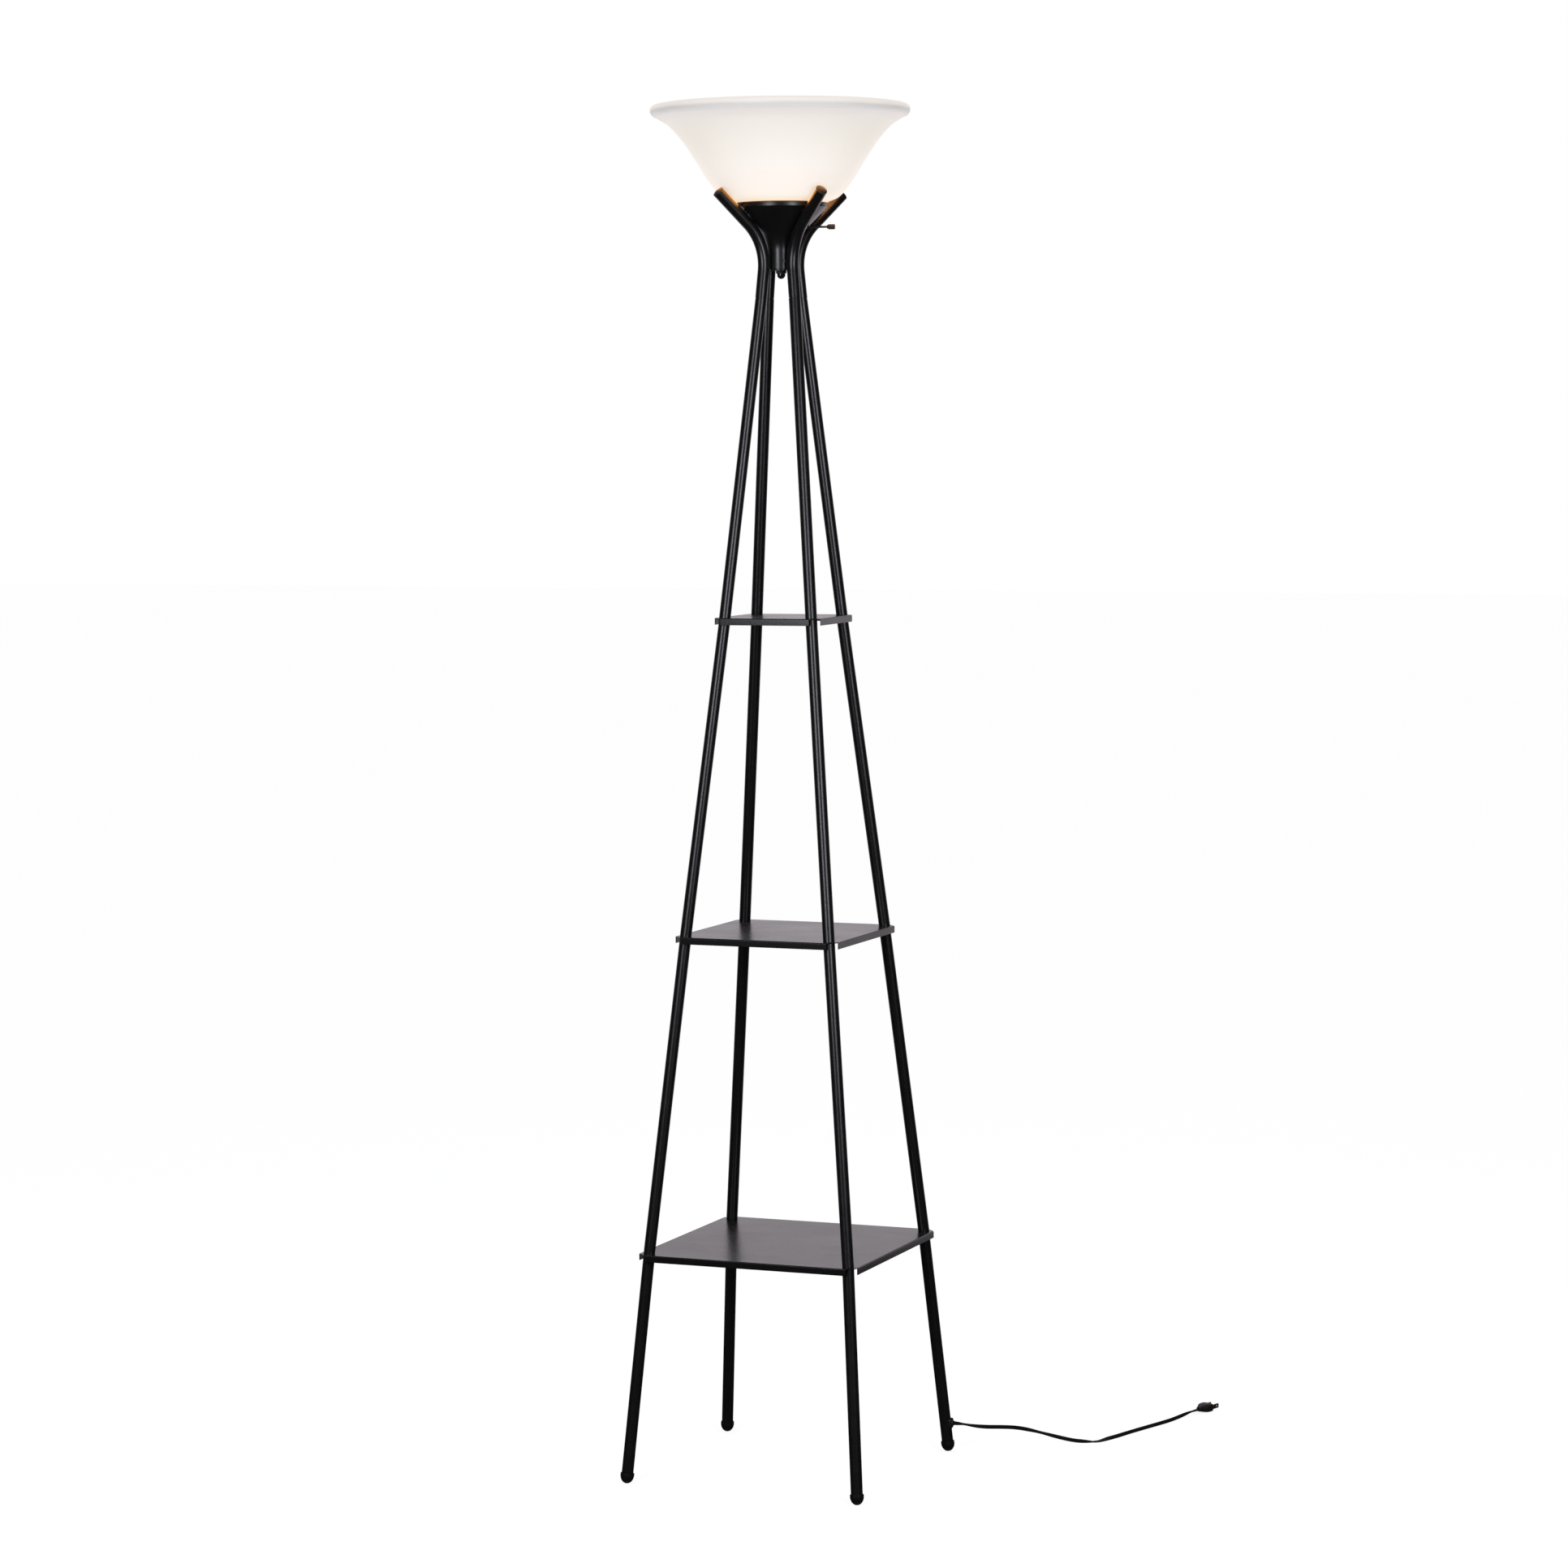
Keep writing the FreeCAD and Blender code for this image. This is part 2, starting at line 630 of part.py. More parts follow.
def end_cap(corner):
    """A domed plug in the arm's open end."""
    tip, outward = arm_tip_plane(corner)
    plug_r = BORE_R - END_CAP_FIT
    sphere_r = (TUBE_R ** 2 + END_CAP_DOME ** 2) / (2 * END_CAP_DOME)
    half_angle = math.asin(TUBE_R / sphere_r) / 2
    middle = (sphere_r * math.sin(half_angle), END_CAP_DOME - sphere_r * (1 - math.cos(half_angle)))
    edges = [
        line((0, -END_CAP_PLUG), (plug_r, -END_CAP_PLUG)),
        line((plug_r, -END_CAP_PLUG), (plug_r, 0)),
        line((plug_r, 0), (TUBE_R, 0)),
        arc((TUBE_R, 0), middle, (0, END_CAP_DOME)),
        line((0, END_CAP_DOME), (0, -END_CAP_PLUG)),
    ]
    cap = lathe(edges)
    cap.Placement = FreeCAD.Placement(tip, FreeCAD.Rotation(Vector(0, 0, 1), outward))
    return cap


# ---- cup ------------------------------------------------------------------------------------------
def cup_outline(wall):
    """The cup's outside moved in by a wall, from the neck's bottom to the rim."""
    radius = CUP_FLARE_RADIUS + wall
    centre_r = NECK_RADIUS + CUP_FLARE_RADIUS

    def on_flare(angle):
        return (centre_r - radius * math.cos(angle), NECK_TOP_Z + radius * math.sin(angle))

    cone_start = on_flare(CUP_FLARE)
    cone_end_r = CONE_END_R - wall
    cone_end = (cone_end_r, cone_start[1] + (cone_end_r - cone_start[0]) / math.tan(CUP_FLARE))
    rim_low = (CUP_RIM_RADIUS - wall, cone_end[1] + CUP_BAND_STEP)
    return on_flare(0), on_flare(CUP_FLARE / 2), cone_start, cone_end, rim_low, (rim_low[0], CUP_TOP_Z)


def cup_solid(wall, bottom):
    """The space inside the cup's outline, down to a height."""
    flare_start, flare_middle, cone_start, cone_end, rim_low, rim_top = cup_outline(wall)
    edges = [
        line((0, bottom), (flare_start[0], bottom)),
        line((flare_start[0], bottom), flare_start),
        arc(flare_start, flare_middle, cone_start),
        line(cone_start, cone_end),
        line(cone_end, rim_low),
        line(rim_low, rim_top),
        line(rim_top, (0, CUP_TOP_Z)),
        line((0, CUP_TOP_Z), (0, bottom)),
    ]
    return lathe(edges)


def screw_axis(corner):
    """A point on the arm's centre line beside the cup, and the direction from there to the cup."""
    flare = math.radians(ARM_FLARE_ANGLE)
    end_r, end_z = arm_profile()[3]
    height = CUP_TOP_Z - SCREW_BELOW_RIM
    radius = end_r + (height - TUBE_R - end_z) * math.tan(flare)
    angle = arm_angle(corner)
    inward = turned(-math.cos(flare), 0, math.sin(flare), angle)
    return turned(radius, 0, height - TUBE_R, angle), inward


def cup():
    """The trumpet-shaped cup with its holes."""
    shell = cup_solid(0.0, NECK_BOTTOM_Z).cut(cup_solid(CUP_WALL, NECK_BOTTOM_Z + CUP_WALL))
    shell = shell.cut(Part.makeCylinder(NIPPLE_DIAMETER / 2 + THREAD_CLEARANCE, 4 * CUP_WALL,
                                        Vector(0, 0, NECK_BOTTOM_Z - CUP_WALL)))
    for corner in CORNERS:
        seat, inward = screw_axis(corner)
        shell = shell.cut(rod(seat, seat + inward * 4 * TUBE_R, SCREW_DIAMETER / 2 + SCREW_CLEARANCE))
    shell = shell.cut(lead_passage())
    rod_hole = Part.makeCylinder(ROD_DIAMETER / 2 + ROD_HOLE_CLEARANCE, CUP_RIM_RADIUS,
                                 Vector(SOCKET_R, 0, ROD_Z), Vector(1, 0, 0))
    set_hole = head(Part.makeCylinder(SET_SCREW_DIAMETER / 2, NECK_RADIUS, Vector(NECK_RADIUS / 2, 0, set_screw_z()),
                                      Vector(1, 0, 0)), SET_SCREW_ANGLE + HEAD_TURN)
    return shell.cut(head(rod_hole)).cut(set_hole)


def screw(corner):
    """A pan-head screw from inside the cup into the arm's wall."""
    seat, inward = screw_axis(corner)
    head_seat = inner_wall_distance(seat, inward)
    under_head = seat + inward * head_seat
    bottom = seat + inward * (TUBE_R - SCREW_DEPTH_IN_ARM)
    shank = rod(bottom, under_head, SCREW_DIAMETER / 2)
    pan = Part.makeCylinder(SCREW_HEAD_DIAMETER / 2, SCREW_HEAD_HEIGHT, under_head, inward)
    return shank.fuse(pan.makeFillet(SCREW_HEAD_HEIGHT / 3, [pan.Edges[0]]))


def inner_wall_distance(seat, inward):
    """From the arm's centre line to where a screw head's edge first clears the cup's inner wall."""
    _, _, cone_start, cone_end, _, _ = cup_outline(CUP_WALL)
    slope = (cone_end[0] - cone_start[0]) / (cone_end[1] - cone_start[1])
    across = unit(inward.cross(Vector(0, 0, 1)))
    upward = across.cross(inward)
    furthest = 0.0
    for step in range(36):
        angle = math.radians(10 * step)
        edge = seat + (across * math.cos(angle) + upward * math.sin(angle)) * (SCREW_HEAD_DIAMETER / 2)
        low = 0.0
        high = 4 * TUBE_R
        for _ in range(40):
            middle = (low + high) / 2
            point = edge + inward * middle
            if math.hypot(point.x, point.y) < cone_start[0] + (point.z - cone_start[1]) * slope:
                high = middle
            else:
                low = middle
        furthest = max(furthest, high)
    return furthest


def spacer(corner):
    """A collar that fills the gap between cup and arm, round the screw."""
    seat, inward = screw_axis(corner)
    collar = rod(seat, seat + inward * 3 * TUBE_R, SPACER_DIAMETER / 2)
    collar = collar.cut(rod(seat - inward, seat + inward * 4 * TUBE_R, SCREW_DIAMETER / 2 + SCREW_CLEARANCE))
    collar = collar.cut(arm_bar(corner, TUBE_R)).cut(cup_solid(0.0, NECK_BOTTOM_Z))
    return collar.Solids[0]


def set_screw_z():
    return NECK_BOTTOM_Z + SET_SCREW_HEIGHT


def neck_set_screw():
    """A small thumb screw in the side of the neck."""
    shank = Part.makeCylinder(SET_SCREW_DIAMETER / 2, SET_SCREW_LENGTH,
                              Vector(NECK_RADIUS - SET_SCREW_LENGTH, 0, set_screw_z()), Vector(1, 0, 0))
    grip = Part.makeCylinder(SET_SCREW_HEAD_DIAMETER / 2, SET_SCREW_HEAD_HEIGHT,
                             Vector(NECK_RADIUS, 0, set_screw_z()), Vector(1, 0, 0))
    slot = Part.makeBox(SET_SCREW_HEAD_HEIGHT, SET_SCREW_HEAD_DIAMETER, SET_SCREW_HEAD_DIAMETER / 5,
                        Vector(NECK_RADIUS + SET_SCREW_HEAD_HEIGHT / 2, -SET_SCREW_HEAD_DIAMETER / 2,
                               set_screw_z() - SET_SCREW_HEAD_DIAMETER / 10))
    return head(shank.fuse(grip.cut(slot)), SET_SCREW_ANGLE + HEAD_TURN)


# ---- nipple stack ---------------------------------------------------------------------------------
WASHER_Z = NECK_BOTTOM_Z - WASHER_THICKNESS
NUT_Z = WASHER_Z - NUT_HEIGHT
DOME_NUT_Z = NUT_Z - DOME_NUT_HEIGHT
NIPPLE_R = NIPPLE_DIAMETER / 2
NIPPLE_HOLE_R = NIPPLE_R + THREAD_CLEARANCE


def dome_nut():
    """The round-ended nut that closes the nipple's lower end."""
    radius = DOME_NUT_DIAMETER / 2
    dome = Part.makeSphere(radius, Vector(0, 0, DOME_NUT_Z + radius))
    body = dome.cut(slab(DOME_NUT_Z + radius, NUT_Z + radius))
    body = body.fuse(Part.makeCylinder(radius, DOME_NUT_HEIGHT - radius, Vector(0, 0, DOME_NUT_Z + radius)))
    return body.cut(Part.makeCylinder(NIPPLE_HOLE_R, NIPPLE_IN_DOME, Vector(0, 0, NUT_Z - NIPPLE_IN_DOME)))


def nipple():
    low = NUT_Z - NIPPLE_IN_DOME + THREAD_CLEARANCE
    return ring(NIPPLE_R, NIPPLE_BORE / 2, low, SOCKET_Z + SOCKET_SHEET + NUT_HEIGHT)


# ---- socket ---------------------------------------------------------------------------------------
def socket_cap():
    """The socket's lower half: a drawn metal bowl with holes for the nipple and the lead."""
    outer = Part.makeCylinder(SOCKET_R, SOCKET_CAP_HEIGHT, Vector(0, 0, SOCKET_Z))
    outer = outer.makeFillet(SOCKET_CAP_ROUND, [edge for edge in outer.Edges
                                                if abs(edge.BoundBox.ZMax - SOCKET_Z) < SOCKET_SHEET])
    inner_z = SOCKET_Z + SOCKET_SHEET
    inner = Part.makeCylinder(SOCKET_R - SOCKET_SHEET, SOCKET_CAP_HEIGHT, Vector(0, 0, inner_z))
    inner = inner.makeFillet(SOCKET_CAP_ROUND - SOCKET_SHEET, [edge for edge in inner.Edges
                                                               if abs(edge.BoundBox.ZMax - inner_z) < SOCKET_SHEET])
    bowl = outer.cut(inner)
    bowl = bowl.cut(Part.makeCylinder(NIPPLE_HOLE_R, 3 * SOCKET_SHEET, Vector(0, 0, SOCKET_Z - SOCKET_SHEET)))
    lead_way = Part.makeCylinder(LEAD_HOLE_R, 3 * SOCKET_SHEET,
                                 turned(LEAD_RISE_RADIUS, 0, SOCKET_Z - SOCKET_SHEET, arm_angle(CORD_CORNER)))
    return bowl.cut(lead_way)


def switch_rod_hole(radius):
    return head(Part.makeCylinder(radius, ROD_REACH, Vector(0, 0, ROD_Z), Vector(1, 0, 0)))


def switch_body():
    """The moulded block that holds the switch, with a bearing hole for the rod."""
    block = Part.makeCylinder(SWITCH_R, SWITCH_BODY_LENGTH, Vector(0, 0, SWITCH_Z))
    start = head(Part.makeCylinder(ROD_DIAMETER / 2 + ROD_RUNNING_CLEARANCE, ROD_REACH,
                                   Vector(SWITCH_R - ROD_IN_SWITCH - ROD_RUNNING_CLEARANCE, 0, ROD_Z),
                                   Vector(1, 0, 0)))
    return block.cut(start)


def socket_shell():
    shell = ring(SHELL_R, SHELL_R - SOCKET_SHEET, SHELL_Z, SHELL_TOP_Z)
    return shell.cut(switch_rod_hole(ROD_DIAMETER / 2 + ROD_HOLE_CLEARANCE))


def socket_sleeve():
    sleeve = ring(SLEEVE_R, SLEEVE_R - SLEEVE_THICKNESS, SWITCH_Z, SHELL_TOP_Z)
    return sleeve.cut(switch_rod_hole(ROD_DIAMETER / 2 + ROD_HOLE_CLEARANCE))


def screw_shell():
    """The threaded brass liner that the bulb screws into."""
    outer = ring(SCREW_SHELL_R, SCREW_SHELL_R - SCREW_SHELL_SHEET, SWITCH_TOP_Z, SHELL_TOP_Z)
    floor = ring(SCREW_SHELL_R, CONTACT_DIAMETER, SWITCH_TOP_Z, SWITCH_TOP_Z + SCREW_SHELL_SHEET)
    return outer.fuse(floor).removeSplitter()


def centre_contact():
    """The spring contact under the bulb's tip."""
    post = Part.makeCylinder(CONTACT_DIAMETER / 4, CONTACT_POST_HEIGHT, Vector(0, 0, SWITCH_TOP_Z))
    pad = Part.makeCylinder(CONTACT_DIAMETER / 2, CONTACT_THICKNESS, Vector(0, 0, SWITCH_TOP_Z + CONTACT_POST_HEIGHT))
    return post.fuse(pad).removeSplitter()


def switch_rod():
    start = SWITCH_R - ROD_IN_SWITCH
    return head(Part.makeCylinder(ROD_DIAMETER / 2, ROD_REACH + KNOB_ROD_DEPTH - start, Vector(start, 0, ROD_Z),
                                  Vector(1, 0, 0)))


def switch_knob():
    """A small ribbed knob pressed on the rod."""
    axis = Vector(1, 0, 0)
    grip_start = ROD_REACH + KNOB_NECK_LENGTH
    neck = Part.makeCone(KNOB_NECK_DIAMETER / 2, KNOB_DIAMETER / 2, KNOB_NECK_LENGTH, Vector(ROD_REACH, 0, ROD_Z), axis)
    grip = Part.makeCylinder(KNOB_DIAMETER / 2, KNOB_LENGTH - KNOB_NECK_LENGTH, Vector(grip_start, 0, ROD_Z), axis)
    grooves = []
    for index in range(KNOB_RIBS):
        angle = 2 * math.pi * index / KNOB_RIBS
        y = (KNOB_DIAMETER / 2 + KNOB_RIB_DEPTH) * math.cos(angle)
        z = (KNOB_DIAMETER / 2 + KNOB_RIB_DEPTH) * math.sin(angle)
        grooves.append(Part.makeCylinder(2 * KNOB_RIB_DEPTH, KNOB_LENGTH, Vector(grip_start, y, ROD_Z + z), axis))
    knob = neck.fuse(grip).removeSplitter().cut(Part.makeCompound(grooves))
    return head(knob.cut(Part.makeCylinder(ROD_DIAMETER / 2, KNOB_ROD_DEPTH, Vector(ROD_REACH, 0, ROD_Z), axis)))


# ---- bulb -----------------------------------------------------------------------------------------
def bulb_outline(shrink):
    """Half the bulb's outline as (radius, height), moved in by the glass."""
    radius = BULB_DIAMETER / 2
    globe_z = BULB_Z + BULB_LENGTH - radius
    neck_r = BULB_NECK_DIAMETER / 2
    neck_z = BULB_Z + BULB_TIP_LENGTH + BULB_CAP_SHEET
    shoulder_z = BULB_Z + BULB_CAP_LENGTH
    low = math.radians(-38)
    waist = (radius * math.cos(low), globe_z + radius * math.sin(low))
    return neck_r - shrink, neck_z, shoulder_z, waist, radius - shrink, globe_z, low


def bulb_envelope_solid(shrink):
    neck_r, neck_z, shoulder_z, waist, radius, globe_z, low = bulb_outline(shrink)
    waist = (radius * math.cos(low), globe_z + radius * math.sin(low))
    mid_z = (shoulder_z + waist[1]) / 2
    mid_r = neck_r + (waist[0] - neck_r) * 0.36
    high = math.radians(26)
    edges = [
        line((0, neck_z), (neck_r, neck_z)),
        line((neck_r, neck_z), (neck_r, shoulder_z)),
        curve([(neck_r, shoulder_z), (mid_r, mid_z), waist]),
        arc(waist, (radius * math.cos(high), globe_z + radius * math.sin(high)), (0, globe_z + radius)),
        line((0, globe_z + radius), (0, neck_z)),
    ]
    return lathe(edges)


def bulb_glass():
    cavity = bulb_envelope_solid(BULB_GLASS)
    return bulb_envelope_solid(0.0).cut(cavity)


def bulb_cap():
    """The bulb's threaded metal cap."""
    crest = BULB_CAP_DIAMETER / 2
    root = crest - THREAD_DEPTH
    low = BULB_Z + BULB_TIP_LENGTH
    top = BULB_Z + BULB_CAP_LENGTH
    inner = root - BULB_CAP_SHEET
    outline = [(BULB_TIP_DIAMETER / 2, low), (root, low)]
    first = top - THREAD_RIDGES * THREAD_PITCH
    for ridge in range(THREAD_RIDGES):
        base = first + ridge * THREAD_PITCH
        outline += [(root, base), (crest, base + THREAD_PITCH / 4)]
        outline += [(crest, base + THREAD_PITCH / 2), (root, base + 3 * THREAD_PITCH / 4)]
    outline += [(root, top), (inner, top), (inner, low + BULB_CAP_SHEET), (BULB_TIP_DIAMETER / 2, low + BULB_CAP_SHEET)]
    return lathe(polygon(outline)).cut(bulb_envelope_solid(0.0))


def bulb_tip():
    return Part.makeCone(BULB_TIP_DIAMETER / 4, BULB_TIP_DIAMETER / 2, BULB_TIP_LENGTH, Vector(0, 0, BULB_Z))


# ---- shade ----------------------------------------------------------------------------------------
def shade():
    """The glass bowl: a round bottom in the cup, a bell above it and a rolled rim."""
    base = SHADE_SEAT_Z
    hip = base + SHADE_HIP
    outer = [
        (SHADE_HOLE_RADIUS, base + SHADE_BOTTOM),
        (SHADE_LOW_RADIUS, base + SHADE_LOW),
        (CUP_RIM_RADIUS - CUP_WALL, base),
        (arm_inner_radius(hip) - SHADE_HIP_TO_ARM, hip),
        (arm_profile()[4][0] - SHADE_BELL_1_INSIDE_TIP, base + SHADE_BELL_1),
        (SHADE_BELL_2_RADIUS, base + SHADE_BELL_2),
        (SHADE_BELL_3_RADIUS, base + SHADE_BELL_3),
        (SHADE_BELL_4_RADIUS, base + SHADE_BELL_4),
        (SHADE_UNDER_RIM_RADIUS, base + SHADE_UNDER_RIM),
    ]
    inner = offset_points(outer, SHADE_GLASS)
    top = (SHADE_TOP_RADIUS, base + SHADE_HEIGHT)
    extreme = (SHADE_RIM_RADIUS, base + SHADE_RIM_MIDDLE)
    roll_in = (inner[-1][0], (inner[-1][1] + top[1]) / 2)
    edges = [
        curve(outer),
        arc(outer[-1], extreme, top),
        arc(top, roll_in, inner[-1]),
        curve(inner),
        line(inner[0], outer[0]),
    ]
    return lathe(edges)


# ---- leads and plug -------------------------------------------------------------------------------
def cord_exit_axis():
    """Where the cord's exit line meets the leg's axis."""
    low = leg_point("floor", CORD_CORNER)
    along = leg_direction("floor", "bottom", CORD_CORNER)
    return low + along * (CORD_EXIT_HEIGHT / along.z)


def cord_mouth():
    """The centre of the bushing's outer face."""
    return cord_exit_axis() + Vector(TUBE_R + BUSHING_REACH, 0, 0)


def bushing():
    """The strain relief: an oval flange with a nose outside and a shank through the tube wall."""
    axis = cord_exit_axis()
    flange_x = axis.x + TUBE_R
    x_axis = Vector(1, 0, 0)
    flange_reach = TUBE_R + BUSHING_FLANGE_THICKNESS
    flange = Part.makeBox(flange_reach, BUSHING_WIDTH, BUSHING_HEIGHT,
                          Vector(axis.x, axis.y - BUSHING_WIDTH / 2, axis.z - BUSHING_HEIGHT / 2))
    flange = flange.makeFillet(BUSHING_WIDTH / 2.2, [edge for edge in flange.Edges
                                                    if edge.BoundBox.XLength > flange_reach / 2])
    nose = Part.makeCone(BUSHING_NOSE_DIAMETER / 2, BUSHING_SHANK_DIAMETER / 2,
                         BUSHING_REACH - BUSHING_FLANGE_THICKNESS,
                         Vector(flange_x + BUSHING_FLANGE_THICKNESS, axis.y, axis.z), x_axis)
    body = flange.fuse(nose).removeSplitter()
    body = body.cut(leg_bar_near_exit(TUBE_R))
    shank = rod(axis + x_axis * (BORE_R - TUBE_WALL), axis + x_axis * (TUBE_R + BUSHING_REACH),
                BUSHING_SHANK_DIAMETER / 2)
    body = body.fuse(shank.cut(leg_bar_near_exit(BORE_R - TUBE_WALL))).removeSplitter()
    return body.cut(rod(axis, axis + x_axis * 4 * TUBE_R, LEAD_HOLE_R))


def leg_bar_near_exit(radius):
    """The stretch of the cord's leg that the bushing sits on, as a solid bar."""
    axis = cord_exit_axis()
    along = leg_direction("floor", "bottom", CORD_CORNER)
    return rod(axis - along * BUSHING_HEIGHT, axis + along * BUSHING_HEIGHT, radius)


def lead_crossing():
    """The lead's corner points in the head: arm, above the throat, neck, socket."""
    angle = arm_angle(CORD_CORNER)
    turn_r = THROAT_R + LEAD_R / 2
    return [
        turned(turn_r, 0, LEAD_ENTRY_Z, angle),
        turned(LEAD_RISE_RADIUS, 0, LEAD_ENTRY_Z, angle),
        turned(LEAD_RISE_RADIUS, 0, SWITCH_Z, angle),
    ]


def lead_passage():
    """The straight way through the arm's wall and the neck's wall."""
    start, end, _ = lead_crossing()
    outward = unit(start - end)
    return rod(end + outward * (NECK_RADIUS - LEAD_RISE_RADIUS - 3 * CUP_WALL),
               end + outward * (THROAT_R - LEAD_RISE_RADIUS), LEAD_HOLE_R)


def inner_lead():
    """The lead inside the lamp: bushing, up the back right leg, across into the neck, socket."""
    start = cord_mouth()
    points = [start, cord_exit_axis()]
    points += [leg_point(level, CORD_CORNER) for level in ("bottom", "middle", "top", "seam")]
    points += lead_crossing()
    small_turn = 20 * INNER_LEAD_DIAMETER
    radii = [INNER_LEAD_BEND] + [small_turn] * 4 + [INNER_LEAD_BEND] * 2
    path = rounded_path(points, radii)
    return swept(path, LEAD_R, start, points[1] - points[0])


def cord_path():
    mouth = cord_mouth()
    points = [mouth, mouth + Vector(CORD_FIRST_RUN, 0, 0)] + [Vector(*point) for point in CORD_POINTS]
    radii = cord_radii(points)
    return rounded_path(points, radii), radii, points


def cord():
    """The free cord on the floor, as a tube of the flat cord's width."""
    path, radii, points = cord_path()
    tube = swept(path, CORD_WIDTH / 2, points[0], points[1] - points[0])
    expected = math.pi * (CORD_WIDTH / 2) ** 2 * path.Length
    print("cord length %.1f mm, volume ratio %.4f" % (path.Length, tube.Volume / expected))
    print("cord radii, mm:", ", ".join("%.0f" % radius for radius in radii))
    return tube


def plug_frame():
    """The plug's back centre, its direction along the floor and the direction across it."""
    end = Vector(*CORD_POINTS[-1])
    along = unit(end - Vector(*CORD_POINTS[-2]))
    return end, along, Vector(-along.y, along.x, 0)


def plug_place(shape):
    """Moves a shape drawn along X from the origin to the plug."""
    end, along, _ = plug_frame()
    placed = shape.copy()
    placed.rotate(Vector(0, 0, 0), Vector(0, 0, 1), math.degrees(math.atan2(along.y, along.x)))
    placed.translate(end)
    return placed


def blade_box(side, start, length, grow=0.0):
    return Part.makeBox(length, BLADE_THICKNESS + 2 * grow, BLADE_WIDTH + 2 * grow,
                        Vector(start, side * BLADE_SPACING / 2 - BLADE_THICKNESS / 2 - grow, -BLADE_WIDTH / 2 - grow))


def plug_body():
    """A small moulded plug, lying flat on the floor, with a tapered tail."""
    half = PLUG_WIDTH / 2
    tail = PLUG_TAIL_WIDTH / 2
    low = -PLUG_THICKNESS / 2
    corners = [(0, -tail), (PLUG_TAIL_LENGTH, -half), (PLUG_LENGTH, -half),
               (PLUG_LENGTH, half), (PLUG_TAIL_LENGTH, half), (0, tail)]
    outline = [Vector(x, y, low) for x, y in corners]
    body = Part.Face(Part.makePolygon(outline + outline[:1])).extrude(Vector(0, 0, PLUG_THICKNESS))
    body = body.makeFillet(PLUG_EDGE, [edge for edge in body.Edges if edge.BoundBox.ZLength > PLUG_THICKNESS / 2])
    for side in (-1, 1):
        body = body.cut(blade_box(side, PLUG_LENGTH - BLADE_ROOT, 2 * BLADE_ROOT))
    return plug_place(body)


def plug_blades():
    return [plug_place(blade_box(side, PLUG_LENGTH - BLADE_ROOT, BLADE_ROOT + BLADE_LENGTH)) for side in (-1, 1)]


# ---- the nodes ------------------------------------------------------------------------------------
SECTIONS = {
    "lower_tube": ("bottom", "middle", SHEET_THICKNESS),
    "middle_tube": ("middle", "top", SHEET_THICKNESS),
    "upper_tube": ("top", "seam", SEAM_GAP),
}


def build():
    os.makedirs("parts", exist_ok=True)
    for corner in CORNERS:
        save("foot_" + corner, foot(corner))
        save("foot_tube_" + corner, foot_tube(corner))
        for name, (lower, upper, gap) in SECTIONS.items():
            save(name + "_" + corner, leg_tube(lower, upper, corner, gap))
        save("arm_" + corner, arm(corner))
    save("arm_end_caps", *[end_cap(corner) for corner in CORNERS])
    save("bottom_shelf_spigots", *spigots("floor", "bottom", "middle"))
    save("middle_shelf_spigots", *spigots("bottom", "middle", "top"))
    save("top_shelf_spigots", *spigots("middle", "top", "seam"))
    save("arm_spigots", *arm_spigots())
    save("bottom_shelf", shelf("bottom", "floor", "middle"))
    save("middle_shelf", shelf("middle", "bottom", "top"))
    save("top_shelf", shelf("top", "middle", "seam"))
    save("cup", cup())
    save("cup_screws", *[screw(corner) for corner in CORNERS])
    save("cup_spacers", *[spacer(corner) for corner in CORNERS])
    save("neck_set_screw", neck_set_screw())
    save("neck_washer", ring(WASHER_DIAMETER / 2, NIPPLE_HOLE_R, WASHER_Z, NECK_BOTTOM_Z))
    save("neck_nut", hexagon(NUT_WIDTH, NUT_Z, WASHER_Z, NIPPLE_HOLE_R))
    save("dome_nut", dome_nut())
    save("nipple", nipple())
    floor_z = NECK_BOTTOM_Z + CUP_WALL
    save("inner_locknuts",
         hexagon(NUT_WIDTH, floor_z, floor_z + NUT_HEIGHT, NIPPLE_HOLE_R),
         hexagon(NUT_WIDTH, SOCKET_Z - NUT_HEIGHT, SOCKET_Z, NIPPLE_HOLE_R),
         hexagon(NUT_WIDTH, SOCKET_Z + SOCKET_SHEET, SOCKET_Z + SOCKET_SHEET + NUT_HEIGHT, NIPPLE_HOLE_R))
    save("socket_cap", socket_cap())
    save("switch_body", switch_body())
    save("socket_sleeve", socket_sleeve())
    save("socket_shell", socket_shell())
    save("screw_shell", screw_shell())
    save("centre_contact", centre_contact())
    save("switch_rod", switch_rod())
    save("switch_knob", switch_knob())
    save("bulb_glass", bulb_glass())
    save("bulb_cap", bulb_cap())
    save("bulb_tip", bulb_tip())
    save("shade", shade())
    save("inner_lead", inner_lead())
    save("cord_bushing", bushing())
    save("cord", cord())
    save("plug_body", plug_body())
    save("plug_blades", *plug_blades())


build()
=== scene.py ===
"""Looks of a floor lamp with three square shelves and an upturned glass bowl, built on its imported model."""

import json
import math

import bmesh
import bpy
from mathutils import Matrix, Vector


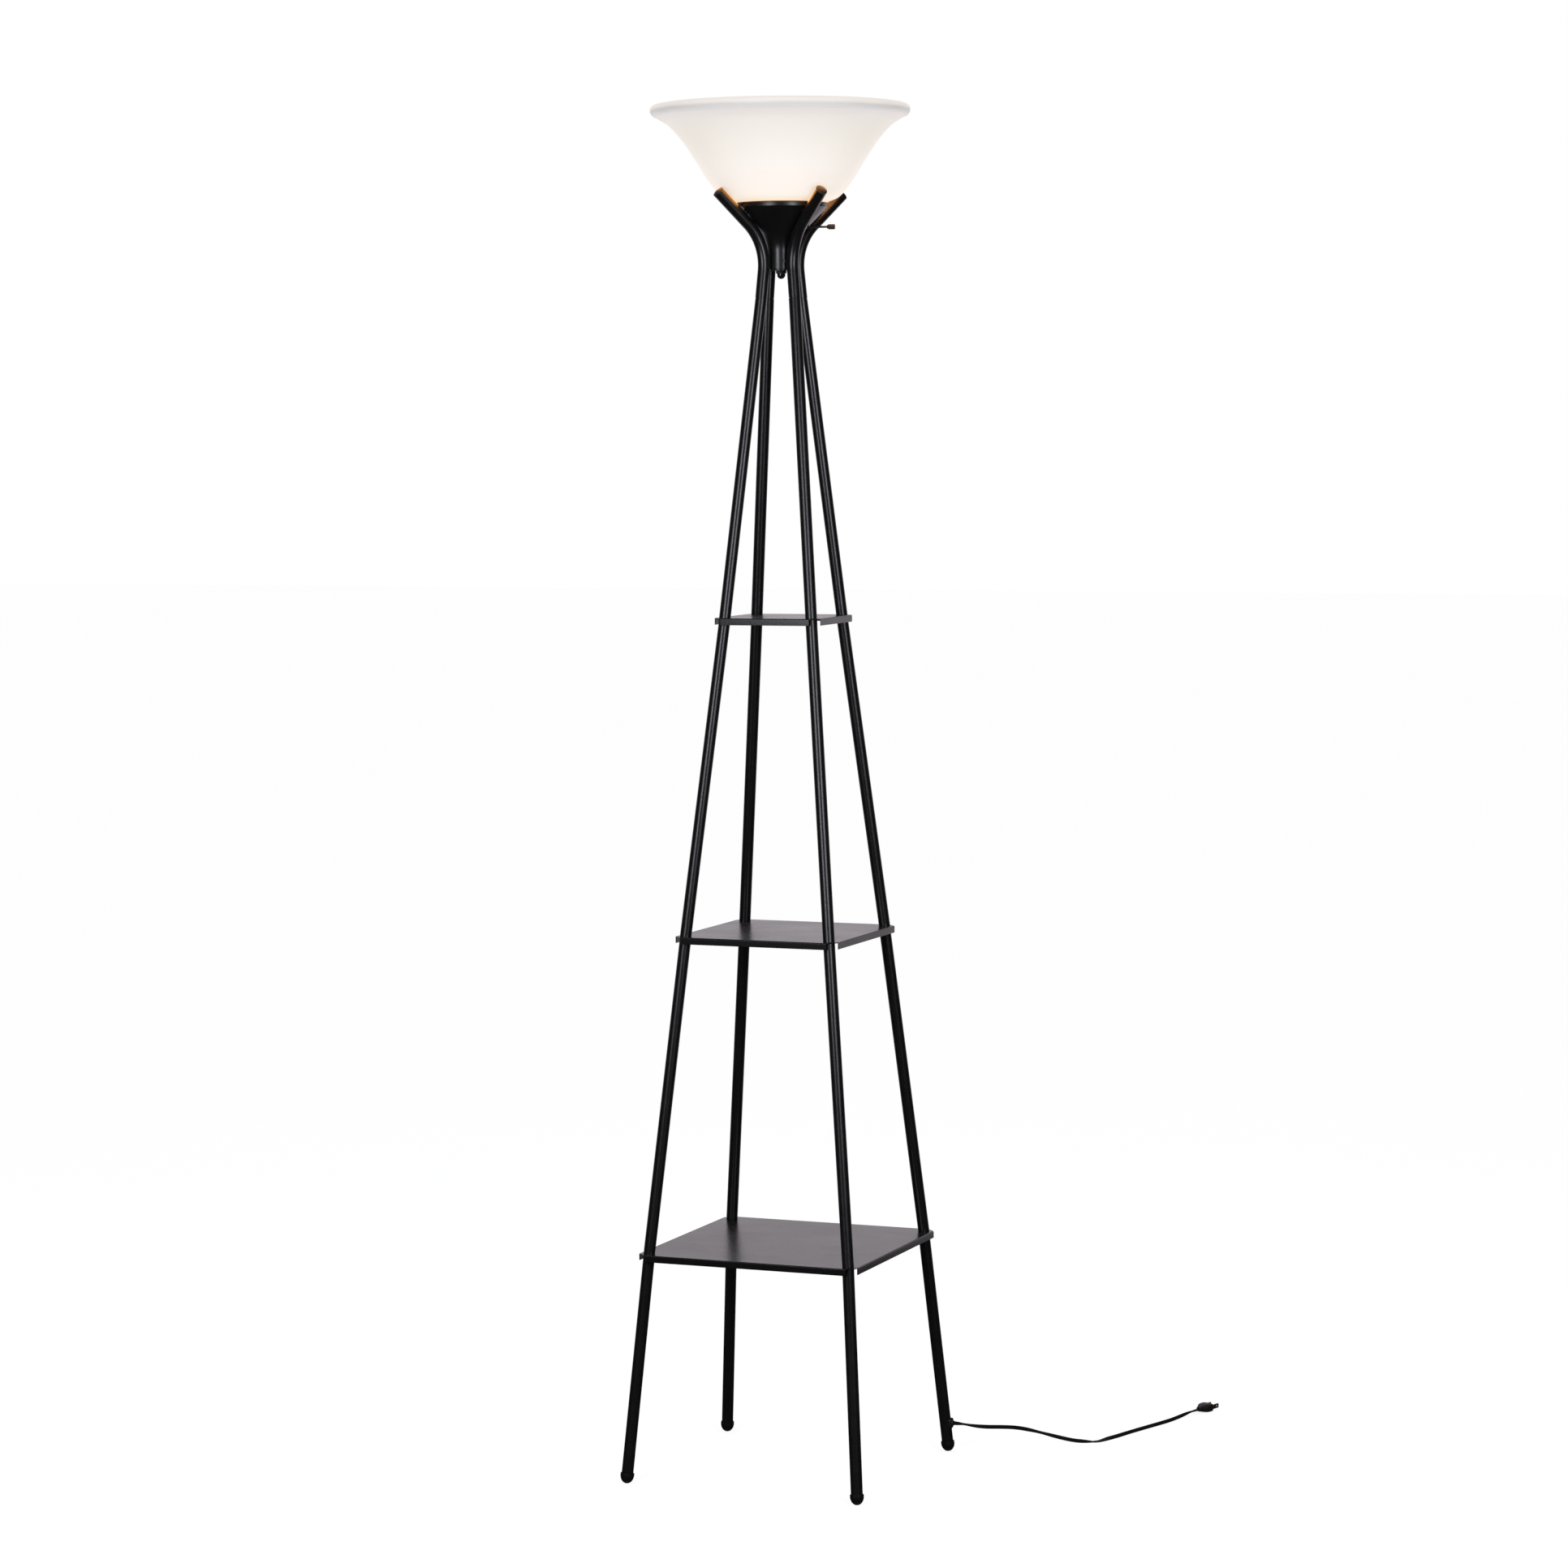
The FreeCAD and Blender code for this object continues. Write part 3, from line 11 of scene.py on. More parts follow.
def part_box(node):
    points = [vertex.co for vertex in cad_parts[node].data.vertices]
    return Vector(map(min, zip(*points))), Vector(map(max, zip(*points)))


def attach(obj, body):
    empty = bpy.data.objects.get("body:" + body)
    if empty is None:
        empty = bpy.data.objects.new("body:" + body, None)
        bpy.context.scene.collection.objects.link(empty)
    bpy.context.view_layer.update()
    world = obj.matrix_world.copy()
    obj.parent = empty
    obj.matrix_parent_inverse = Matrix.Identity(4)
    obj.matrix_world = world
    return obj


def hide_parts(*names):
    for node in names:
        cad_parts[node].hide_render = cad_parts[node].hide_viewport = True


bl_info = {
    "name": "Shelf Floor Lamp",
    "version": (1, 0, 0),
    "blender": (4, 5, 0),
    "location": "View3D > Sidebar > Floor Lamp",
    "description": "Builds the visible pieces of a shelf floor lamp and the studio round it",
    "category": "Object",
}

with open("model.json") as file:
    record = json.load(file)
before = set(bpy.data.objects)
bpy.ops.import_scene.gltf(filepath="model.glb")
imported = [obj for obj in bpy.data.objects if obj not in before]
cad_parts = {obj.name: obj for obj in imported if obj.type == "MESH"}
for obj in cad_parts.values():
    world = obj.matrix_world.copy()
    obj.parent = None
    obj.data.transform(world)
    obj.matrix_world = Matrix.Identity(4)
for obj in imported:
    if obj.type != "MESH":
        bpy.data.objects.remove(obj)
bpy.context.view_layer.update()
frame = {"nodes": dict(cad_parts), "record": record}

MM = 0.001
UP = Vector((0, 0, 1))
CORNERS = {"front_left": (-1, -1), "front_right": (1, -1), "back_right": (1, 1), "back_left": (-1, 1)}


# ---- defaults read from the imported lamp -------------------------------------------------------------
def top_of(node):
    """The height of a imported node's highest point."""
    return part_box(node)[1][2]


def bottom_of(node):
    """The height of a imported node's lowest point."""
    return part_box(node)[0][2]


SEAM_GAP = 0.5 * MM
SEAM_Z = top_of("upper_tube_front_left") + SEAM_GAP
NECK_BOTTOM_Z = bottom_of("cup")
CUP_TOP_Z = top_of("cup")


# ---- settings -------------------------------------------------------------------------------------
def length(name, default, description):
    """A size setting, in metres."""
    return bpy.props.FloatProperty(
        name=name,
        description=description,
        default=default,
        min=0,
        subtype="DISTANCE",
        unit="LENGTH",
        precision=5,
    )


def angle(name, degrees, description):
    """An angle setting, given in degrees."""
    return bpy.props.FloatProperty(
        name=name, description=description, default=math.radians(degrees), subtype="ANGLE", unit="ROTATION"
    )


def colour(name, default, description):
    """A colour setting."""
    return bpy.props.FloatVectorProperty(
        name=name, description=description, default=default, size=3, min=0, max=1, subtype="COLOR"
    )


def amount(name, default, description, top=100.0):
    """A plain number setting."""
    return bpy.props.FloatProperty(name=name, description=description, default=default, min=0, max=top)


class LampStandSettings(bpy.types.PropertyGroup):
    floor_half: length("Floor half spacing", 0.164, "Lamp axis to each leg's axis at the floor, along X or Y")
    bottom_half: length("Bottom half spacing", 0.1401, "Lamp axis to each leg's axis at the bottom shelf")
    middle_half: length("Middle half spacing", 0.1009, "Lamp axis to each leg's axis at the middle shelf")
    top_half: length("Top half spacing", 0.0599, "Lamp axis to each leg's axis at the top shelf")
    seam_half: length("Seam half spacing", 0.0223, "Lamp axis to each leg's axis where legs and arms meet")
    bottom_z: length("Bottom shelf height", top_of("bottom_shelf"), "Top face of the bottom shelf")
    middle_z: length("Middle shelf height", top_of("middle_shelf"), "Top face of the middle shelf")
    top_z: length("Top shelf height", top_of("top_shelf"), "Top face of the top shelf")
    seam_z: length("Seam height", SEAM_Z, "Where legs end and arms begin")
    floor_turn: angle("Feet turn", -1.0, "How far the feet's square is turned about the lamp axis")
    top_turn: angle("Top shelf turn", 2.0, "How far the top shelf is turned about the lamp axis")
    tube_diameter: length("Tube diameter", 0.0155, "Outside of the leg and arm tubes")
    overhang: length("Shelf overhang", 0.014, "Shelf edge beyond the leg axes")
    sheet: length("Sheet thickness", 0.0012, "Thickness of the shelf sheet")
    lip_height: length("Lip height", 0.0091, "Depth of the bent-down shelf edge")
    foot_radius: length("Foot radius", 0.0091, "Radius of the rubber foot's dome")


class LampHeadSettings(bpy.types.PropertyGroup):
    turn: angle("Head turn", 10.3, "How far the arms, cup and switch are turned about the lamp axis")
    throat_height: length("Throat height", 0.0426, "Above the seam, where the arms stand closest")
    arm_bend: length("Arm bend radius", 0.0704, "Bend radius of the arm's centre line")
    arm_flare: angle("Arm flare", 48.3, "How far the arm's end leans from upright")
    arm_tip: length("Arm end length", 0.0613, "Straight end of the arm after its bend")
    neck_radius: length("Neck radius", 0.0181, "Radius of the cup's neck")
    neck_gap: length("Neck gap", 0.00125, "Between the neck and the arms")
    neck_height: length("Neck height", 0.0212, "Height of the cup's straight neck")
    cup_wall: length("Cup wall", 0.0012, "Thickness of the cup's metal")
    cup_flare: length("Cup flare radius", 0.0381, "Radius of the cup's trumpet curve")
    cup_angle: angle("Cup flare", 44.3, "How far the cup's cone leans from upright")
    cup_radius: length("Cup rim radius", 0.061, "Radius of the cup at its rim")
    shade_gap: length("Shade seat gap", 0.0001, "Between the cup's rim and the glass")
    glass: length("Glass thickness", 0.0036, "Thickness of the shade's glass")
    bulb_radius: length("Bulb radius", 0.030, "Radius of the bulb's globe")
    knob_ribs: bpy.props.IntProperty(
        name="Knob ribs", description="Raised ribs round the switch knob", default=14, min=6, max=40
    )


class LampFinishSettings(bpy.types.PropertyGroup):
    paint: colour("Paint", (0.0038, 0.0036, 0.0037), "Satin black paint of the tubes, shelves and cup")
    rubber: colour("Rubber", (0.0036, 0.0034, 0.0031), "Rubber of the feet")
    plastic: colour("Plastic", (0.0085, 0.0083, 0.0085), "Black plastic of the caps, knob and plug")
    vinyl: colour("Vinyl", (0.0075, 0.0072, 0.0070), "Insulation of the cord")
    glass: colour("Glass", (0.41, 0.40, 0.39), "Opal glass of the shade, unlit")
    brass: colour("Brass", (0.60, 0.44, 0.20), "Socket shell and plug blades")
    steel: colour("Steel", (0.42, 0.42, 0.43), "Plated steel of the rod, nipple and nuts")


class LampStageSettings(bpy.types.PropertyGroup):
    floor: colour("Floor", (0.9, 0.9, 0.9), "Colour of the floor")
    mirrored: colour("Mirrored backdrop", (1.0, 0.925, 0.985), "What glossy faces mirror behind the lamp")
    ambient: amount("Ambient", 0.45, "Level of the soft light from all round")
    lamp_watts: amount("Lamp power", 23.0, "Power of each tall studio lamp, in watts", 1000.0)
    room: amount("Room", 0.02, "Level that glossy faces mirror from the room in front of the lamp")
    ceiling: amount("Ceiling", 0.3, "Level that glossy faces mirror from overhead")
    lamp_distance: length("Lamp distance", 2.5, "Lamp axis to each studio lamp")


# ---- nodes ----------------------------------------------------------------------------------------
CREASE = math.radians(32)  # an edge that turns by more stays sharp
WELD = 2e-6  # points of a turned piece that are closer become one
UNCUT = 10.0  # a level beyond every tube's ends


def put(tree, kind, settings=None, **inputs):
    """Adds a node. An input is named with underscores for spaces, or i0, i1 for its place."""
    node = tree.nodes.new(kind)
    for key, value in (settings or {}).items():
        setattr(node, key, value)
    for key, value in inputs.items():
        by_place = key[0] == "i" and key[1:].isdigit()
        target = node.inputs[int(key[1:])] if by_place else node.inputs[key.replace("_", " ")]
        if isinstance(value, bpy.types.NodeSocket):
            tree.links.new(value, target)
        else:
            target.default_value = value
    return node


def maths(tree, operation, first, second=0.0):
    """Combines two values."""
    return put(tree, "ShaderNodeMath", {"operation": operation}, i0=first, i1=second).outputs[0]


def dot(tree, first, second):
    """How far one vector runs along another."""
    node = put(tree, "ShaderNodeVectorMath", {"operation": "DOT_PRODUCT"}, i0=first, i1=second)
    return node.outputs["Value"]


def between(tree, factor, first, second):
    """Mixes two values."""
    return put(tree, "ShaderNodeMix", {"data_type": "FLOAT"}, i0=factor, i2=first, i3=second).outputs[0]


def tinted(tree, factor, first, second):
    """Mixes two colours."""
    return put(tree, "ShaderNodeMixRGB", Fac=factor, Color1=first, Color2=second).outputs[0]


def new_geometry_tree(name, *inputs):
    """A Geometry Nodes tree with named inputs, each (name, kind, default)."""
    tree = bpy.data.node_groups.new(name, "GeometryNodeTree")
    tree.interface.new_socket("Geometry", in_out="INPUT", socket_type="NodeSocketGeometry")
    for label, kind, default in inputs:
        socket = tree.interface.new_socket(label, in_out="INPUT", socket_type="NodeSocket" + kind)
        if default is not None:
            socket.default_value = default
    tree.interface.new_socket("Geometry", in_out="OUTPUT", socket_type="NodeSocketGeometry")
    return tree, tree.nodes.new("NodeGroupInput").outputs


def end_tree(tree, geometry, material):
    """Realizes the instances, smooths the faces, keeps sharp edges and sets the material."""
    realized = put(tree, "GeometryNodeRealizeInstances", Geometry=geometry).outputs[0]
    smooth = put(
        tree, "GeometryNodeSetShadeSmooth", {"domain": "FACE"}, i0=realized, Shade_Smooth=True
    ).outputs[0]
    edge_angle = put(tree, "GeometryNodeInputMeshEdgeAngle").outputs["Unsigned Angle"]
    sharp = maths(tree, "GREATER_THAN", edge_angle, CREASE)
    creased = put(
        tree, "GeometryNodeSetShadeSmooth", {"domain": "EDGE"}, i0=smooth, Selection=sharp, Shade_Smooth=False
    ).outputs[0]
    painted = put(tree, "GeometryNodeSetMaterial", Geometry=creased, Material=material).outputs[0]
    put(tree, "NodeGroupOutput", i0=painted)


def lathe_tree():
    """Turns a row of (radius, 0, height) points about Z, row by row of a grid."""
    tree, given = new_geometry_tree("Lathe", ("Around", "Int", 64), ("Material", "Material", None))
    rows = put(
        tree, "GeometryNodeAttributeDomainSize", {"component": "MESH"}, Geometry=given["Geometry"]
    ).outputs["Point Count"]
    columns = maths(tree, "ADD", given["Around"], 1.0)
    grid = put(tree, "GeometryNodeMeshGrid", Vertices_X=columns, Vertices_Y=rows).outputs["Mesh"]
    index = put(tree, "GeometryNodeInputIndex").outputs[0]
    row = maths(tree, "MODULO", index, rows)
    column = maths(tree, "FLOOR", maths(tree, "DIVIDE", index, rows))
    turn = maths(tree, "MULTIPLY", maths(tree, "DIVIDE", column, given["Around"]), 2 * math.pi)
    here = put(tree, "GeometryNodeInputPosition").outputs[0]
    point = put(
        tree,
        "GeometryNodeSampleIndex",
        {"data_type": "FLOAT_VECTOR", "domain": "POINT"},
        Geometry=given["Geometry"],
        Value=here,
        Index=row,
    ).outputs[0]
    parts = put(tree, "ShaderNodeSeparateXYZ", Vector=point).outputs
    place = put(
        tree,
        "ShaderNodeCombineXYZ",
        X=maths(tree, "MULTIPLY", parts[0], maths(tree, "COSINE", turn)),
        Y=maths(tree, "MULTIPLY", parts[0], maths(tree, "SINE", turn)),
        Z=parts[2],
    ).outputs[0]
    moved = put(tree, "GeometryNodeSetPosition", Geometry=grid, Position=place).outputs[0]
    closed = put(tree, "GeometryNodeMergeByDistance", Geometry=moved, Distance=WELD).outputs[0]
    end_tree(tree, closed, given["Material"])
    return tree


def tube_tree():
    """A round tube along a path of edges, with its ends pressed flat to two levels."""
    tree, given = new_geometry_tree(
        "Level Cut Tube",
        ("Radius", "Float", 0.00775),
        ("Around", "Int", 40),
        ("Low", "Float", -UNCUT),
        ("High", "Float", UNCUT),
        ("Material", "Material", None),
    )
    path = put(tree, "GeometryNodeMeshToCurve", i0=given["Geometry"]).outputs[0]
    ring = put(
        tree, "GeometryNodeCurvePrimitiveCircle", Resolution=given["Around"], Radius=given["Radius"]
    ).outputs[0]
    tube = put(
        tree, "GeometryNodeCurveToMesh", Curve=path, Profile_Curve=ring, Fill_Caps=True
    ).outputs[0]
    here = put(tree, "GeometryNodeInputPosition").outputs[0]
    parts = put(tree, "ShaderNodeSeparateXYZ", Vector=here).outputs
    level = put(tree, "ShaderNodeClamp", Value=parts[2], Min=given["Low"], Max=given["High"]).outputs[0]
    place = put(tree, "ShaderNodeCombineXYZ", X=parts[0], Y=parts[1], Z=level).outputs[0]
    cut = put(tree, "GeometryNodeSetPosition", Geometry=tube, Position=place).outputs[0]
    end_tree(tree, cut, given["Material"])
    return tree


def scatter_tree():
    """Sets a part on every point, its Z axis along the point's 'facing' attribute."""
    tree, given = new_geometry_tree(
        "Set On Points", ("Part", "Object", None), ("Material", "Material", None)
    )
    facing = put(
        tree, "GeometryNodeInputNamedAttribute", {"data_type": "FLOAT_VECTOR"}, Name="facing"
    ).outputs[0]
    turned_to = put(tree, "FunctionNodeAlignRotationToVector", {"axis": "Z"}, Vector=facing).outputs[0]
    part = put(tree, "GeometryNodeObjectInfo", Object=given["Part"]).outputs["Geometry"]
    points = put(tree, "GeometryNodeMeshToPoints", Mesh=given["Geometry"]).outputs[0]
    many = put(
        tree, "GeometryNodeInstanceOnPoints", Points=points, Instance=part, Rotation=turned_to
    ).outputs[0]
    end_tree(tree, many, given["Material"])
    return tree


def ring_tree():
    """Repeats a shape round Z, joined to the round body that it stands on."""
    tree, given = new_geometry_tree(
        "Ribs Around", ("Rib", "Object", None), ("Count", "Int", 16), ("Material", "Material", None)
    )
    row = put(tree, "GeometryNodeMeshLine", Count=given["Count"], Offset=(0, 0, 0)).outputs[0]
    index = put(tree, "GeometryNodeInputIndex").outputs[0]
    step = maths(tree, "DIVIDE", 2 * math.pi, given["Count"])
    spin = put(tree, "ShaderNodeCombineXYZ", Z=maths(tree, "MULTIPLY", index, step)).outputs[0]
    rib = put(tree, "GeometryNodeObjectInfo", Object=given["Rib"]).outputs["Geometry"]
    ribs = put(tree, "GeometryNodeInstanceOnPoints", Points=row, Instance=rib, Rotation=spin).outputs[0]
    joined = put(tree, "GeometryNodeJoinGeometry")
    tree.links.new(ribs, joined.inputs[0])
    tree.links.new(given["Geometry"], joined.inputs[0])
    end_tree(tree, joined.outputs[0], given["Material"])
    return tree


# ---- pieces ---------------------------------------------------------------------------------------
def mesh_object(name, points, edges=(), faces=()):
    """An object from points, and the edges or faces between them."""
    mesh = bpy.data.meshes.new(name)
    mesh.from_pydata([Vector(point) for point in points], list(edges), list(faces))
    piece = bpy.data.objects.new(name, mesh)
    bpy.context.scene.collection.objects.link(piece)
    return piece


def shell_object(name, shell):
    """An object from a bmesh, which is freed."""
    piece = mesh_object(name, [])
    shell.to_mesh(piece.data)
    shell.free()
    return piece


def facing_points(name, points, facings):
    """Points for the scatter tree, each with the direction that its part faces."""
    piece = mesh_object(name, points)
    attribute = piece.data.attributes.new("facing", "FLOAT_VECTOR", "POINT")
    attribute.data.foreach_set("vector", [c for facing in facings for c in facing])
    return piece


def ring_faces(rings, around):
    """The faces between a row of closed rings of points, and over its first and last ring."""
    faces = []
    for ring in range(rings - 1):
        a = ring * around
        for k in range(around):
            after = (k + 1) % around
            faces.append((a + k, a + after, a + around + after, a + around + k))
    last = (rings - 1) * around
    return faces + [tuple(range(around))[::-1], tuple(range(last, last + around))]


def smoothed(piece):
    """Shades all faces of a piece smooth."""
    piece.data.polygons.foreach_set("use_smooth", [True] * len(piece.data.polygons))


def pressed_to_floor(piece):
    """Lifts what is below the floor up to it."""
    for vertex in piece.data.vertices:
        vertex.co.z = max(vertex.co.z, 0.0)


def discard(*pieces):
    """Removes helper objects."""
    for piece in pieces:
        bpy.data.objects.remove(piece, do_unlink=True)


def shaped(piece, tree, matrix=None, **inputs):
    """Runs a tree on a piece, keeps the result as its plain mesh and turns its faces outwards."""
    modifier = piece.modifiers.new("Shape", "NODES")
    modifier.node_group = tree
    for item in tree.interface.items_tree:
        if item.in_out == "INPUT" and item.name.replace(" ", "_") in inputs:
            modifier[item.identifier] = inputs[item.name.replace(" ", "_")]
    return baked(piece, matrix)


def baked(piece, matrix=None):
    """Makes a piece's modifiers part of its mesh and removes them."""
    bpy.context.view_layer.update()
    seen = piece.evaluated_get(bpy.context.evaluated_depsgraph_get())
    mesh = bpy.data.meshes.new_from_object(seen)
    piece.modifiers.clear()
    old = piece.data
    piece.data = mesh
    bpy.data.meshes.remove(old)
    mesh.name = piece.name
    if matrix is not None:
        mesh.transform(matrix)
    shell = bmesh.new()
    shell.from_mesh(mesh)
    if shell.calc_volume(signed=True) < 0:
        bmesh.ops.reverse_faces(shell, faces=shell.faces)
        shell.to_mesh(mesh)
    shell.free()
    return piece


def finished(piece, material, body, slot, *nodes):
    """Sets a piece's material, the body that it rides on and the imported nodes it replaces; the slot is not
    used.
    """
    piece.data.materials.clear()
    piece.data.materials.append(material)
    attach(piece, body)
    if nodes:
        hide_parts(*nodes)
    return piece


def repaint(material, *nodes):
    """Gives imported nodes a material."""
    for node in nodes:
        for slot in frame["nodes"][node].material_slots:
            slot.material = material


def lathe(name, profile, material, around=64, matrix=None):
    """A turned piece from (radius, height) points in metres."""
    points = [(radius, 0, height) for radius, height in profile]
    piece = mesh_object(name, points, [(k, k + 1) for k in range(len(points) - 1)])
    return shaped(piece, TREES["lathe"], matrix, Around=around, Material=material)


def tube(name, path, radius, material, low=-UNCUT, high=UNCUT, around=40):
    """A round tube along a path, pressed flat at two levels."""
    piece = mesh_object(name, path, [(k, k + 1) for k in range(len(path) - 1)])
    return shaped(
        piece, TREES["tube"], None, Radius=radius, Around=around, Low=low, High=high, Material=material
    )


def arc(centre, radius, start, end, steps):
    """Points on an arc in (radius, height), angles in degrees from the radius axis."""
    spread = [math.radians(start + (end - start) * k / steps) for k in range(steps + 1)]
    return [(centre[0] + radius * math.cos(a), centre[1] + radius * math.sin(a)) for a in spread]


def spun(x, y, z, turn):
    """A point turned about the lamp axis."""
    return Vector((x * math.cos(turn) - y * math.sin(turn), x * math.sin(turn) + y * math.cos(turn), z))


def along(direction, origin):
    """The matrix that takes +Z to a direction and the origin to a point."""
    return Matrix.Translation(origin) @ UP.rotation_difference(direction).to_matrix().to_4x4()


# ---- materials ------------------------------------------------------------------------------------
def new_material(name, preview, **sockets):
    """A material with one Principled BSDF whose plain values are set on its own sockets."""
    material = bpy.data.materials.new(name)
    material.use_nodes = True
    material.diffuse_color = (*preview, 1)
    tree = material.node_tree
    tree.nodes.clear()
    shader = put(tree, "ShaderNodeBsdfPrincipled", **sockets)
    put(tree, "ShaderNodeOutputMaterial", Surface=shader.outputs[0])
    where = put(tree, "ShaderNodeTexCoord").outputs["Object"]
    return material, tree, shader, where


def noise(tree, where, scale, detail=4.0, roughness=0.5):
    """Cloudy noise, as a value."""
    return put(
        tree, "ShaderNodeTexNoise", Vector=where, Scale=scale, Detail=detail, Roughness=roughness
    ).outputs[0]


def ramp(tree, factor, *stops):
    """A colour ramp through (place, colour) stops."""
    node = put(tree, "ShaderNodeValToRGB", Fac=factor)
    elements = node.color_ramp.elements
    while len(elements) < len(stops):
        elements.new(0.5)
    for element, (place, tint) in zip(elements, stops):
        element.position = place
        element.color = (*tint, 1)
    return node.outputs[0]


def span(tree, value, low, high, new_low, new_high):
    """Maps a value's range to another, clamped."""
    return put(
        tree,
        "ShaderNodeMapRange",
        Value=value,
        From_Min=low,
        From_Max=high,
        To_Min=new_low,
        To_Max=new_high,
    ).outputs[0]


def scaled(tint, factor):
    """A colour made lighter or darker."""
    return tuple(min(1.0, channel * factor) for channel in tint)


def bump(tree, shader, height, strength, depth):
    """Gives a shader a surface that rises with a value."""
    node = put(tree, "ShaderNodeBump", Height=height, Strength=strength, Distance=depth)
    tree.links.new(node.outputs[0], shader.inputs["Normal"])


def satin_paint(finish):
    """Satin black paint: a little cloudiness in its colour and gloss."""
    paint = tuple(finish.paint)
    material, tree, shader, where = new_material("Satin black paint", paint, Specular_IOR_Level=0.5)
    cloud = noise(tree, where, 22, 5, 0.6)
    tree.links.new(ramp(tree, cloud, (0.3, scaled(paint, 0.8)), (0.7, scaled(paint, 1.25))), shader.inputs[0])
    tree.links.new(span(tree, noise(tree, where, 90, 3), 0.3, 0.7, 0.28, 0.32), shader.inputs["Roughness"])
    return material


def shelf_paint(finish):
    """The same paint on flat sheet: broad cloudiness, faint rub marks and a few pale flecks."""
    paint = tuple(finish.paint)
    material, tree, shader, where = new_material("Shelf paint", paint, Specular_IOR_Level=0.5)
    rubbed = put(
        tree, "ShaderNodeMapping", Vector=where, Scale=(1.0, 1.6, 1.0), Rotation=(0, 0, 0.5)
    ).outputs[0]
    broad = noise(tree, rubbed, 7, 6, 0.62)
    marks = noise(tree, rubbed, 38, 4, 0.7)
    blend = maths(tree, "ADD", maths(tree, "MULTIPLY", broad, 0.7), maths(tree, "MULTIPLY", marks, 0.3))
    tree.links.new(span(tree, blend, 0.35, 0.65, 0.24, 0.29), shader.inputs["Roughness"])
    flecks = put(tree, "ShaderNodeTexVoronoi", Vector=where, Scale=46.0, Randomness=1.0).outputs["Distance"]
    fleck = span(tree, flecks, 0.0, 0.035, 1.0, 0.0)
    kept = maths(tree, "MULTIPLY", fleck, span(tree, noise(tree, where, 9, 2), 0.58, 0.62, 0.0, 1.0))
    tint = ramp(tree, kept, (0.0, paint), (1.0, (0.05, 0.05, 0.05)))
    tree.links.new(tint, shader.inputs[0])
    bump(tree, shader, noise(tree, where, 1100, 2), 0.05, 0.0001)
    return material


def rubber(finish):
    """Matt rubber with a faint moulding texture and dust low down."""
    tint = tuple(finish.rubber)
    material, tree, shader, where = new_material("Foot rubber", tint, Specular_IOR_Level=0.22)
    grain = noise(tree, where, 420, 4, 0.6)
    height = put(tree, "ShaderNodeSeparateXYZ", Vector=where).outputs[2]
    dust = maths(tree, "MULTIPLY", span(tree, height, 0.0, 0.006, 0.6, 0.0), grain)
    tree.links.new(ramp(tree, dust, (0.0, tint), (1.0, (0.06, 0.055, 0.05))), shader.inputs[0])
    tree.links.new(span(tree, grain, 0.3, 0.7, 0.48, 0.6), shader.inputs["Roughness"])
    bump(tree, shader, grain, 0.2, 0.0002)
    return material


def moulded(name, tint, low, high, level=0.35, grain_scale=900.0):
    """Moulded plastic or vinyl: fine grain in its gloss and surface."""
    material, tree, shader, where = new_material(name, tint, Specular_IOR_Level=level)
    grain = noise(tree, where, grain_scale, 3, 0.55)
    cloud = noise(tree, where, 60, 3, 0.5)
    tree.links.new(ramp(tree, cloud, (0.3, scaled(tint, 0.85)), (0.7, scaled(tint, 1.2))), shader.inputs[0])
    tree.links.new(span(tree, grain, 0.3, 0.7, low, high), shader.inputs["Roughness"])
    bump(tree, shader, grain, 0.12, 0.0001)
    return material


def metal(name, tint, low, high, stretch=(1, 1, 1), scale=160.0):
    """Bare metal with fine tool or drawing marks and slight tarnish."""
    material, tree, shader, where = new_material(name, tint, Metallic=1.0)
    lined = put(tree, "ShaderNodeMapping", Vector=where, Scale=stretch).outputs[0]
    marks = noise(tree, lined, scale, 4, 0.6)
    tarnish = noise(tree, where, 45, 4, 0.6)
    tree.links.new(ramp(tree, tarnish, (0.3, scaled(tint, 0.72)), (0.7, tint)), shader.inputs[0])
    tree.links.new(span(tree, marks, 0.3, 0.7, low, high), shader.inputs["Roughness"])
    bump(tree, shader, marks, 0.08, 0.0001)
    return material


